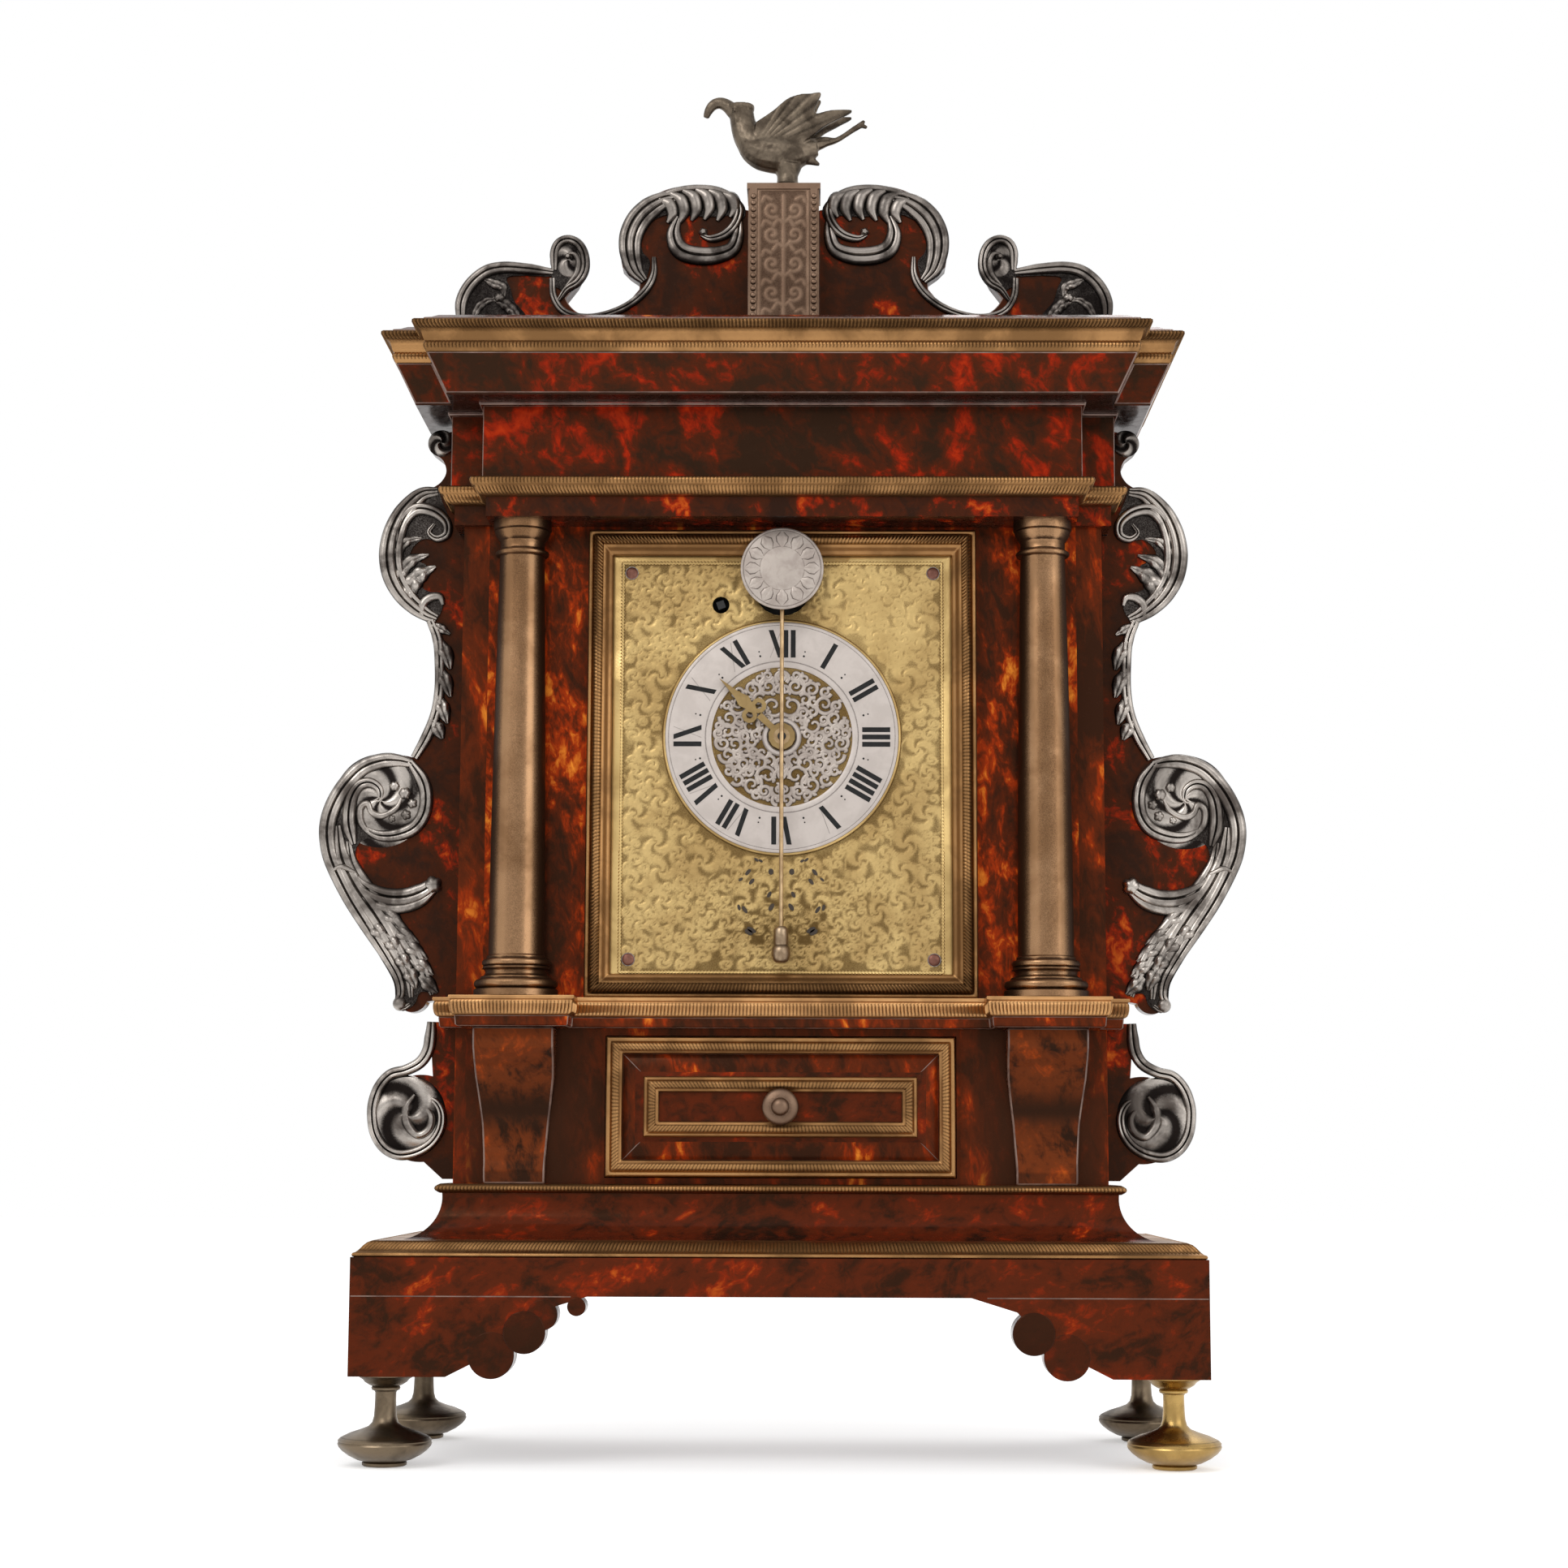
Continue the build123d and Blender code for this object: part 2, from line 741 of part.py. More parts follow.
def winding_arbor():
    x, z = barrel_axis
    end = great_y + 20.0
    body = prism(x, z, winding_radius, front_plate_back + joint_gap, end, 12)
    body += prism(x, z, 3.8, great_y - 2.0, great_y - joint_gap, 8)
    body += prism(x, z, pivot_radius, end, back_plate_y + plate_thickness, 8)
    body += arbor(x, z, 2.2, front_plate_y - 1.0, front_plate_back + joint_gap)
    square = Pos(x, z) * Rot(0, 0, 20) * Rectangle(3.0, 3.0)
    return body + upright(square, dial_plate_front - 0.6, front_plate_y - 1.0)


def second_wheel():
    x, z = second_axis
    body = pivoted(second_axis, hour_wheel_y - 1.0, back_plate_y + plate_thickness)
    phase = heading(second_axis, barrel_axis) + 180.0 / second_pinion_teeth
    body += gear(x, z, great_module, second_pinion_teeth, phase, great_y - 1.0, great_y + 3.0, False)
    front = second_wheel_y
    wheel = gear(x, z, second_module, second_teeth, heading(second_axis, third_axis),
                 front, front + wheel_thickness, True)
    wheel -= crossed(x, z, 13.4, 3.6, front, front + wheel_thickness)
    return body + wheel


def third_wheel():
    x, z = third_axis
    body = pivoted(third_axis, front_plate_y, back_plate_y + plate_thickness)
    phase = heading(third_axis, second_axis) + 180.0 / third_pinion_teeth
    body += gear(x, z, second_module, third_pinion_teeth, phase,
                 second_wheel_y - 0.8, second_wheel_y + 2.4, False)
    wheel = gear(x, z, third_module, third_teeth, heading(third_axis, contrate_axis),
                 third_wheel_y, third_wheel_y + wheel_thickness, True)
    wheel -= crossed(x, z, 12.0, 3.2, third_wheel_y, third_wheel_y + wheel_thickness)
    return body + wheel


def contrate_wheel():
    x, z = contrate_axis
    body = pivoted(contrate_axis, front_plate_y, back_plate_y + plate_thickness)
    phase = heading(contrate_axis, third_axis) + 180.0 / contrate_pinion_teeth
    body += gear(x, z, third_module, contrate_pinion_teeth, phase,
                 third_wheel_y - 1.0, third_wheel_y + 2.6, False)
    pitch_y = crown_y + crown_pinion_radius
    tip_y = pitch_y - contrate_module
    root_y = pitch_y + 1.3 * contrate_module
    rim_back = root_y + 1.8
    inner, outer = contrate_radius - 1.2, contrate_radius + 1.2
    rim = Pos(x, z) * (RegularPolygon(outer, 24) - RegularPolygon(inner, 24))
    for turn in (0, 90):
        rim += Pos(x, z) * Rot(0, 0, turn) * Rectangle(2 * inner + 0.6, 2.6)
    wheel = upright(rim, root_y, rim_back)
    pitch = math.pi * contrate_module
    shape = outline((-0.36 * pitch, root_y), (0, tip_y), (0.36 * pitch, root_y))
    tooth = Pos(0, 0, contrate_radius - 0.8) * extrude(shape, amount=1.6)
    teeth = [Pos(x, 0, z) * Rot(0, 360.0 * i / contrate_teeth, 0) * tooth for i in range(contrate_teeth)]
    return body + wheel + teeth


def crown_wheel():
    """Escape wheel with saw teeth standing up under the verge, on an upright arbor."""
    foot_z = crown_pinion_z - 9.0
    shaft_bottom = crown_pinion_z - 5.0
    rim_top = escape_tip_z - 2.6
    inner = escape_radius - 1.2
    cup = turned([(escape_radius, escape_base_z), (escape_radius, rim_top), (inner, rim_top),
                  (inner, escape_base_z + 1.2)], escape_teeth)
    pitch = 2 * math.pi * escape_radius / escape_teeth
    shape = outline((-pitch * 0.46, rim_top), (pitch * 0.46, rim_top),
                    (pitch * 0.46, escape_tip_z), (pitch * 0.30, escape_tip_z))
    tooth = upright(shape, -escape_radius + 0.15, -escape_radius + 1.0)
    teeth = [Rot(0, 0, 360.0 * i / escape_teeth) * tooth for i in range(escape_teeth)]
    shaft = turned([(1.2, shaft_bottom), (1.2, escape_base_z)], 8)
    pivot = Pos(0, 0, (foot_z + shaft_bottom) / 2) * Cylinder(pivot_radius, shaft_bottom - foot_z)
    leaf = gear(0, 0, contrate_module, crown_pinion_teeth, 0, 0, 4.6, False)
    leaf = Rot(0, 0, 90.0 + 180.0 / crown_pinion_teeth) * Rot(90, 0, 0) * leaf
    leaf = Pos(0, 0, crown_pinion_z - leaf.bounding_box().center().Z) * leaf
    return Pos(0, crown_y, 0) * (cup + teeth + shaft + pivot + leaf)


def potence():
    """Bracket on the front plate that carries the upright arbor."""
    low = crown_pinion_z - 9.0
    high = escape_base_z - 1.4
    back = crown_y + 1.7
    side = outline((front_plate_back, low), (back, low), (back, low + 3.4), (front_plate_back + 2.6, low + 3.4),
                   (front_plate_back + 2.6, high - 1.8), (back, high - 1.8), (back, high),
                   (front_plate_back, high))
    body = sideways(side, -2.8, 2.8)
    middle = Plane.XY.offset(low + 6.0)
    body -= extrude(Plane.XY.offset(low - 1) * bore(0, crown_y, pivot_radius + running_gap, 8), amount=7.0)
    return body - extrude(middle * bore(0, crown_y, 1.2 + running_gap, 8), amount=high - low)


def plate_face(winding_bore):
    width = 2 * plate_half_width
    middle = (plate_bottom_z + plate_top_z) / 2
    sheet = Pos(0, middle) * Rectangle(width, plate_top_z - plate_bottom_z)
    for x, z in (second_axis, third_axis, contrate_axis):
        sheet -= bore(x, z, pivot_radius + running_gap, 10)
    sheet -= bore(0, verge_z, verge_radius + running_gap)
    return sheet - bore(winding_x, winding_z, winding_bore)


verge_radius = 1.2
winding_radius = 2.0


def movement_front_plate():
    plate = upright(plate_face(2.2 + running_gap), front_plate_y, front_plate_back)
    return plate + prism(0, dial_z, stud_radius, hand_front - 0.8, front_plate_y, 10)


def movement_back_plate():
    return upright(plate_face(pivot_radius + running_gap), back_plate_y, back_plate_y + plate_thickness)


def movement_pillars():
    pillars = []
    middle = (front_plate_back + back_plate_y) / 2
    for x in (-pillar_x, pillar_x):
        for z in (plate_bottom_z + 8.0, plate_top_z - 8.0):
            body = prism(x, z, pillar_radius, front_plate_back, back_plate_y, 6)
            pillars.append(body + prism(x, z, pillar_radius + 1.4, middle - 2.0, middle + 2.0, 6))
    return group(*pillars)


def hour_wheel():
    """Hour wheel with the pipe that carries the hand, free on the centre stud."""
    x, z = hour_axis
    body = gear(x, z, motion_module, hour_teeth, heading(hour_axis, second_axis),
                hour_wheel_y, hour_wheel_y + 2.0, True)
    body -= crossed(x, z, 28.6, 7.0, hour_wheel_y, hour_wheel_y + 2.0)
    body += Pos(x, 0, z) * Rot(0, hand_angle, 0) * prism(0, 0, pipe_radius, hand_front, hour_wheel_y + 5.6)
    return body - arbor(x, z, stud_radius + running_gap, hand_front - 1, front_plate_y)


def motion_pinion():
    """Pinion that grips the front end of the second arbor and drives the hour wheel."""
    x, z = second_axis
    phase = heading(second_axis, hour_axis) + 180.0 / motion_teeth
    body = gear(x, z, motion_module, motion_teeth, phase, hour_wheel_y - 0.8, hour_wheel_y + 3.0, False)
    return body - upright(bore(x, z, pivot_radius + running_gap, 10), hour_wheel_y - 2, hour_wheel_y + 4)


def verge():
    """Verge staff with two pallets over the front and the back of the crown wheel."""
    staff = arbor(0, verge_z, verge_radius, pendulum_y - 2.0, back_plate_y + plate_thickness)
    pallet = slab(-0.35, 0.35, -1.4, 1.4, -3.0, 0)
    for y, lean in ((crown_y - escape_radius + 0.6, 48.0), (crown_y + escape_radius - 0.6, -48.0)):
        staff += Pos(0, y, verge_z) * Rot(0, lean, 0) * pallet
    return staff


def pendulum_rod():
    top = verge_z - 2.2
    bottom = verge_z - bob_bottom + bob_length
    rod = Pos(0, pendulum_y, 0) * turned([(rod_radius, bottom), (rod_radius, top)], 8)
    eye = RegularPolygon(3.2, round_sides) - bore(0, 0, verge_radius)
    return rod + upright(Pos(0, verge_z) * eye, pendulum_y - 1.0, pendulum_y + 1.0)


def pendulum_disc():
    z = verge_z + disc_lift
    back = pendulum_y - 2.0
    return prism(0, z, disc_radius, back - disc_thickness, back, 32)


def pendulum_bob():
    r = bob_radius
    profile = [(r * 0.5, 0), (r * 0.92, 1.4), (r, 3.4), (r * 0.86, 6.0), (r * 0.72, 6.6),
               (r * 0.78, bob_length - 0.6), (r * 0.55, bob_length)]
    return Pos(0, pendulum_y, verge_z - bob_bottom) * turned(profile)


def architrave_band():
    steps = [(architrave_reach, architrave_z), (architrave_reach, architrave_brass_z)]
    return course(bay_ring, steps) - core(architrave_z, architrave_brass_z)


def architrave_moulding():
    z = architrave_brass_z
    r = architrave_brass_reach
    steps = [(architrave_reach, z), (r - 2.6, z + 1.0), (r - 1.4, z + 3.6), (r, z + 4.2), (r, frieze_z)]
    return course(bay_ring, steps) - core(z, frieze_z)


def frieze():
    return course(bay_ring, [(frieze_reach, frieze_z), (frieze_reach, fillet_z)]) - core(frieze_z, fillet_z)


def cornice():
    """Small fillet under a fascia that leans outwards up to the crown."""
    low = course(bay_ring, [(fillet_reach, fillet_z), (fillet_reach, fascia_z)])
    high = course(bay_ring, [(fascia_reach, fascia_z), (fascia_top_reach, crown_z)])
    return (low + high) - core(fillet_z, crown_z)


def crown_moulding():
    z = crown_z
    r = fascia_top_reach
    steps = [
        (r - 0.3, z),
        (r + 0.6, z + 3.0),
        (r + 0.6, z + 4.2),
        (r + 2.0, z + 8.4),
        (crown_reach, z + 9.6),
        (crown_reach, roof_z),
    ]
    return course(bay_ring, steps) - course(bay_ring, [(r - 0.8, z - 1), (r - 0.8, roof_z + 1)])


def roof_board():
    """Roof inside the crown, a lid over the case and a low bevelled step under the pediment."""
    reach = fascia_top_reach - 0.8
    top = course(bay_ring, [(reach, crown_z), (reach, roof_z)])
    lid = slab(-case_half, case_half, case_front, case_back, fascia_z, crown_z)
    x = case_half + 11.0
    front = case_front - 6.0
    step = polyhedron([
        [(-x, front, roof_z), (x, front, roof_z), (x, front + 62, roof_z), (-x, front + 62, roof_z)],
        [(-x + 3, front + 3, roof_step_z), (x - 3, front + 3, roof_step_z),
         (x - 3, front + 59, roof_step_z), (-x + 3, front + 59, roof_step_z)],
    ])
    return top + lid + step


def pediment_at(x, rise):
    return (x * pediment_scale, roof_step_z + rise * pediment_scale)


def pediment_outline(trim):
    """Right half of the broken pediment: side leaf, small volute, notch and large C-scroll."""
    s = pediment_scale
    edge = [(block_half_width, roof_step_z), (pediment_at(128.8, 0)[0] - trim, roof_step_z)]
    edge += bow(pediment_at(109.0, 19.2), 19.8 * s - trim, 0, 90)
    edge += bow(pediment_at(84.0, 38.5), 9.2 * s - trim, -5, 215)
    edge += [pediment_at(82.0, 27.6)]
    edge += bow(pediment_at(76.0, 27.0), 11.0 * s + trim, -22, -140)
    edge += bow(pediment_at(38.0, 42.0), 28.2 * s - trim, -32, 140)
    edge += [(block_half_width, pediment_at(0, 59.0)[1])]
    return outline(*edge)


def pediment_boards():
    right = upright(pediment_outline(0.8), pediment_front, pediment_front + pediment_thickness)
    return group(right, mirrored(right))


def band(outer_centre, outer, inner_centre, inner, start, end):
    """Face between two arcs, wide in the middle where their centres differ."""
    return outline(*bow(outer_centre, outer, start, end), *bow(inner_centre, inner, end, start))


def pediment_scrolls():
    """Silver mounts: a leafy C-scroll by the block, a small volute and a side leaf."""
    s = pediment_scale
    big = band(pediment_at(38.0, 42.0), 28.4 * s, pediment_at(36.0, 41.0), 20.5 * s, -30, 138)
    big += Pos(*pediment_at(29.0, 49.0)) * RegularPolygon(12.4 * s, round_sides)
    big += outline(pediment_at(24.0, 43.0), pediment_at(36.0, 28.0), pediment_at(57.5, 31.5), pediment_at(40.0, 37.0))
    volute = pediment_at(84.0, 38.5)
    small = band(volute, 9.4 * s, volute, 4.8 * s, -5, 215)
    rim = bow(pediment_at(109.0, 19.2), 20.0 * s, 0, 90)
    leaf = outline(*rim, pediment_at(94.0, 38.0), pediment_at(104.0, 26.0), pediment_at(118.0, 21.0))
    right = [upright(face, pediment_front - mount_thickness, pediment_front) for face in (big, small, leaf)]
    return group(*right, *[mirrored(solid) for solid in right])


def pediment_block():
    w = block_half_width
    body = slab(-w, w, block_front, pediment_front + pediment_thickness + 2.0, roof_step_z, block_top_z - 2.4)
    back = pediment_front + pediment_thickness + 2.6
    body += slab(-w - 0.6, w + 0.6, block_front - 0.6, back, block_top_z - 2.4, block_top_z)
    for side in (-1, 1):
        body += slab(side * (w - 2.0) - 1.4, side * (w - 2.0) + 1.4, block_front - 0.8, block_front,
                     roof_step_z, block_top_z - 2.4)
    return body


def bird_finial():
    """Perched bird with raised wings: turned body, flat wings and tail, round foot."""
    y = (block_front + pediment_front + pediment_thickness) / 2
    s = bird_scale
    body = turned([(0.8, -22.0), (3.0, -20.0), (6.2, -12.0), (7.4, -2.0), (6.0, 8.0), (4.4, 15.0),
                   (4.8, 20.0), (3.6, 24.4), (0.8, 26.0)], 10)
    body = Pos(-6.0, 0, 18.8) * Rot(0, -52.0, 0) * body
    beak = upright(outline((-24.0, 35.0), (-26.4, 38.0), (-30.0, 35.0), (-32.6, 29.4), (-28.4, 32.0),
                           (-24.8, 29.8), (-20.0, 31.0)), -1.8, 1.8)
    wing = upright(outline((-10.9, 26.0), (-3.0, 33.0), (4.5, 38.2), (15.0, 39.4), (12.5, 33.0), (12.0, 29.9),
                           (19.5, 32.0), (27.4, 31.2), (17.0, 24.7), (10.0, 20.0), (-6.0, 20.0)), -2.0, 2.0)
    tail = upright(outline((4.0, 20.0), (19.5, 20.6), (30.9, 28.9), (33.9, 25.8), (22.0, 19.6), (12.0, 12.6),
                           (0.0, 12.0)), -2.6, 2.6)
    leg = Pos(1.0, 0, 0) * turned([(5.2, 0), (5.2, 2.4), (3.4, 2.8), (3.4, 12.0)], 10)
    return Pos(0, y, block_top_z) * scale(body + beak + wing + tail + leg, by=s)


def ear_at(reach, level, rise):
    return (case_half + reach * ear_scale, level + rise * ear_scale)


def ear_centres():
    """Centres of the ear's curves: lower volute, foot curl, large volute, upper scroll, top curl."""
    return (
        ear_at(14.5, drawer_stage_z, 24.6),
        ear_at(18.8, dial_stage_z, 1.4),
        ear_at(27.5, dial_stage_z, 68.5),
        ear_at(7.5, architrave_z, -6.5),
        ear_at(11.5, fillet_z, -6.0),
    )


def ear_outline(trim):
    """Right ear, from the lower volute up the case side to the top curl."""
    s = ear_scale
    low, curl, main, upper, top = ear_centres()
    edge = [(case_half, drawer_stage_z + 1.5), ear_at(4.0, drawer_stage_z, 1.5)]
    edge += bow(low, 17.5 * s - trim, -95, 105)
    edge += [ear_at(10.0, dial_stage_z, -0.6)]
    edge += bow(curl, 6.9 * s - trim, 200, 380)
    edge += [ear_at(22.6, dial_stage_z, 8.4), ear_at(26.6, dial_stage_z, 16.6)]
    edge += [ear_at(35.4 - trim, dial_stage_z, 26.6)]
    edge += bow(main, 28.0 * s - trim, -40, 105)
    edge += [ear_at(14.8, dial_stage_z, 109.0), ear_at(11.6, dial_stage_z, 127.0)]
    edge += bow(upper, 27.0 * s - trim, -68, 72)
    edge += [ear_at(10.0, fillet_z, -16.5)]
    edge += bow(top, 5.8 * s - trim, -60, 120)
    edge += [(case_half, fillet_z - 0.9)]
    return outline(*edge)


def ear_board(side):
    body = upright(ear_outline(0.8), ear_front, ear_front + ear_thickness)
    y0, y1 = ear_front - 1, ear_front + ear_thickness + 1
    g = joint_gap
    x0 = case_half - 1
    body -= slab(x0, case_half + bead_reach + g, y0, y1, 0, drawer_stage_z + g)
    body -= slab(x0, case_half + waist_reach + g, y0, y1, waist_z - g, dial_stage_z + g)
    body -= slab(x0, case_half + architrave_brass_reach + g, y0, y1, architrave_z - g, frieze_z + g)
    body -= slab(x0, case_half + frieze_reach + g, y0, y1, frieze_z, fillet_z)
    body -= slab(x0, 200, y0, y1, fillet_z, fillet_z + 20)
    return body if side > 0 else mirrored(body)


def ear_mount(side):
    """Silver mounts on the front of one ear."""
    s = ear_scale
    low, curl, main, upper, top = ear_centres()
    base = dial_stage_z
    scroll = band(upper, 27.2 * s, ear_at(4.5, architrave_z, -5.5), 21.0 * s, -68, 72)
    scroll += Pos(*ear_at(21.6, architrave_z, -0.5)) * RegularPolygon(7.6 * s, 10)
    scroll += outline(ear_at(15.5, architrave_z, -27.5), ear_at(12.4, base, 127.0), ear_at(15.4, base, 109.0),
                      ear_at(22.0, base, 96.0), ear_at(21.0, base, 111.0), ear_at(17.6, base, 127.0))
    edge = [ear_at(25.0, base, 0), ear_at(23.0, base, 8.4), ear_at(27.0, base, 16.4), ear_at(35.8, base, 26.4)]
    edge += bow(main, 28.2 * s, -40, 100)
    edge += bow(ear_at(26.0, base, 67.5), 21.0 * s, 100, -40)
    edge += [ear_at(39.0, base, 42.0), ear_at(31.0, base, 31.0), ear_at(23.0, base, 20.0), ear_at(19.0, base, 8.0)]
    volute = outline(*edge)
    eye = RegularPolygon(15.6 * s, round_sides) - RegularPolygon(6.0 * s, 8)
    volute += Pos(*ear_at(30.6, base, 79.6)) * eye
    volute += outline(ear_at(10.0, base, 24.0), ear_at(23.0, base, 29.0), ear_at(36.0, base, 39.0),
                      ear_at(26.0, base, 39.0))
    volute += outline(ear_at(10.0, base, 5.0), ear_at(16.0, base, -3.4), ear_at(23.6, base, 2.6),
                      ear_at(18.0, base, 5.5))
    ring = RegularPolygon(13.0 * s, round_sides) - RegularPolygon(5.0 * s, 8)
    lower = Pos(*ear_at(17.6, drawer_stage_z, 21.6)) * ring
    lower += outline(ear_at(14.0, drawer_stage_z, 30.0), ear_at(9.0, drawer_stage_z, 43.0),
                     ear_at(6.0, drawer_stage_z, 54.0), ear_at(5.0, drawer_stage_z, 40.0))
    knop = Pos(*top) * RegularPolygon(5.2 * s, 10)
    solids = []
    for face in (scroll, volute, lower, knop):
        solids.extend(upright(face, ear_front - mount_thickness, ear_front).solids())
    whole = group(*solids)
    return whole if side > 0 else mirrored(whole)


door_width = 180.0
door_low = dial_stage_z + 7.0
door_high = architrave_z - 10.5
door_gap = 0.6
hinge_inset = 5.0
button_x = door_width / 2 + 9.0
button_z = (door_low + door_high) / 2


def back_frame():
    x = case_half - board
    panel = slab(-x, x, back_inner, back_outer, bead_z, fascia_z)
    half = door_width / 2
    return panel - slab(-half, half, back_inner - 1, back_outer + 1, door_low, door_high)


def hinge_axis():
    return (-door_width / 2 + hinge_inset, back_outer - back_thickness / 2)


def back_door():
    """Plain back door with a rounded hinge edge, turning on two pins."""
    half = door_width / 2 - door_gap
    hx, hy = hinge_axis()
    low, high = door_low + door_gap, door_high - door_gap
    panel = slab(hx, half, back_inner, back_outer, low, high)
    panel += Pos(hx, hy, (low + high) / 2) * Cylinder(back_thickness / 2, high - low)
    for z in (low - 1, high - 7):
        panel -= extrude(Plane.XY.offset(z) * bore(hx, hy, 1.5 + running_gap), amount=8.0)
    return panel


def door_pins():
    hx, hy = hinge_axis()
    pins = []
    for z, step in ((door_low, 1), (door_high, -1)):
        pins.append(Pos(hx, hy, z) * turned([(1.5, 0), (1.5, step * 7.0)]))
    return group(*pins)


def turn_button():
    bar = Pos(button_x, button_z) * Rectangle(7.0, 24.0) - bore(button_x, button_z, 1.5 + running_gap)
    return upright(bar, back_outer + joint_gap, back_outer + 3.0)


def button_screw():
    head = prism(button_x, button_z, 3.2, back_outer + 3.0 + joint_gap, back_outer + 4.4, 12)
    return head + arbor(button_x, button_z, 1.5, back_outer, back_outer + 3.0 + joint_gap)


nodes = {
    "feet": feet,
    "plinth_brackets": plinth_brackets,
    "plinth_board": plinth_board,
    "base_moulding": base_moulding,
    "scotia": scotia,
    "scotia_moulding": scotia_moulding,
    "case_sides": case_sides,
    "case_shelves": case_shelves,
    "drawer_surround": drawer_surround,
    "corbels": corbels,
    "waist_moulding": waist_moulding,
    "column_left": lambda: column(-1),
    "column_right": lambda: column(1),
    "dial_surround": dial_surround,
    "dial_frame": dial_frame,
    "dial_plate": dial_plate,
    "dial_posts": dial_posts,
    "chapter_ring": chapter_ring,
    "dial_rosette": dial_rosette,
    "architrave_band": architrave_band,
    "architrave_moulding": architrave_moulding,
    "frieze": frieze,
    "cornice": cornice,
    "crown_moulding": crown_moulding,
    "roof_board": roof_board,
    "pediment_boards": pediment_boards,
    "pediment_block": pediment_block,
    "pediment_scrolls": pediment_scrolls,
    "bird_finial": bird_finial,
    "ear_board_left": lambda: ear_board(-1),
    "ear_board_right": lambda: ear_board(1),
    "ear_mount_left": lambda: ear_mount(-1),
    "ear_mount_right": lambda: ear_mount(1),
    "back_frame": back_frame,
    "door_pins": door_pins,
    "button_screw": button_screw,
    "back_door": back_door,
    "turn_button": turn_button,
    "drawer_box": drawer_box,
    "drawer_front": drawer_front,
    "drawer_mouldings": drawer_mouldings,
    "drawer_knob": drawer_knob,
    "movement_front_plate": movement_front_plate,
    "movement_back_plate": movement_back_plate,
    "movement_pillars": movement_pillars,
    "potence": potence,
    "barrel": barrel,
    "winding_arbor": winding_arbor,
    "second_wheel": second_wheel,
    "third_wheel": third_wheel,
    "contrate_wheel": contrate_wheel,
    "crown_wheel": crown_wheel,
    "hour_wheel": hour_wheel,
    "hour_hand": hour_hand,
    "motion_pinion": motion_pinion,
    "verge": verge,
    "pendulum_rod": pendulum_rod,
    "pendulum_disc": pendulum_disc,
    "pendulum_bob": pendulum_bob,
}

for name, make in nodes.items():
    export_step(make(), f"parts/{name}.step")
    print("wrote", name)
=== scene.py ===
import math
import random
import bpy
import bmesh
import numpy as np
from mathutils import Matrix, Vector


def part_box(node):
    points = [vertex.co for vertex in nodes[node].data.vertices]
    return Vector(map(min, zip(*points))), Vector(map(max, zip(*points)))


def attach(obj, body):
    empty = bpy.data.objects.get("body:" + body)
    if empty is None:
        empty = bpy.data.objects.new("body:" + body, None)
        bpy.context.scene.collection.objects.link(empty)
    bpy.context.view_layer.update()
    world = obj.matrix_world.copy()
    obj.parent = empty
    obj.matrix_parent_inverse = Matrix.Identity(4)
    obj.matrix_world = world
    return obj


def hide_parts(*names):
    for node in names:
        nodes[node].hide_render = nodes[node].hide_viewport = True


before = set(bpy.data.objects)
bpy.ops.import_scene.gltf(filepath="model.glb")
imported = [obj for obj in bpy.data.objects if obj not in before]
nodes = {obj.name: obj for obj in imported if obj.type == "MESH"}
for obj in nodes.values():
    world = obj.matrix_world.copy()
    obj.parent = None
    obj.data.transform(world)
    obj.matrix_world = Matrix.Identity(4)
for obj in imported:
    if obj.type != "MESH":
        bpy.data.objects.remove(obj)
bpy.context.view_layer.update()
mm = 0.001  # shapes are worked out in millimetres
sides = ((-1, "left"), (1, "right"))
print("clock frame loaded:", len(nodes), "nodes")


# colours are written as the eye reads them, 0 to 255
def tint(red, green, blue):
    values = [channel / 255.0 for channel in (red, green, blue)]
    linear = [v / 12.92 if v <= 0.04045 else ((v + 0.055) / 1.055) ** 2.4 for v in values]
    return (*linear, 1.0)


# shader helpers: a source is a socket to link or a plain value
def addNode(tree, kind, sources=None, **settings):
    node = tree.nodes.new(kind)
    for key, value in settings.items():
        setattr(node, key, value)
    for socket, source in (sources or {}).items():
        if isinstance(source, bpy.types.NodeSocket):
            tree.links.new(source, node.inputs[socket])
        else:
            node.inputs[socket].default_value = source
    return node


def noiseAt(tree, vector, scale, detail, rough=0.55, warp=0.0):
    sources = {"Vector": vector, "Scale": scale, "Detail": detail, "Roughness": rough, "Distortion": warp}
    return addNode(tree, "ShaderNodeTexNoise", sources).outputs["Fac"]


def spread(tree, value, low, high, toLow=0.0, toHigh=1.0, curve="SMOOTHSTEP"):
    sources = {0: value, 1: low, 2: high, 3: toLow, 4: toHigh}
    return addNode(tree, "ShaderNodeMapRange", sources, interpolation_type=curve).outputs[0]


def sums(tree, kind, first, second):
    return addNode(tree, "ShaderNodeMath", {0: first, 1: second}, operation=kind).outputs[0]


def blendColours(tree, factor, first, second):
    return addNode(tree, "ShaderNodeMix", {0: factor, 6: first, 7: second}, data_type="RGBA").outputs[2]


def recessMark(tree):  # each mesh carries its own marks
    return addNode(tree, "ShaderNodeAttribute", attribute_name="recess").outputs["Fac"]


groupEnds = {"Color": "NodeSocketColor", "Roughness": "NodeSocketFloat", "Height": "NodeSocketFloat"}


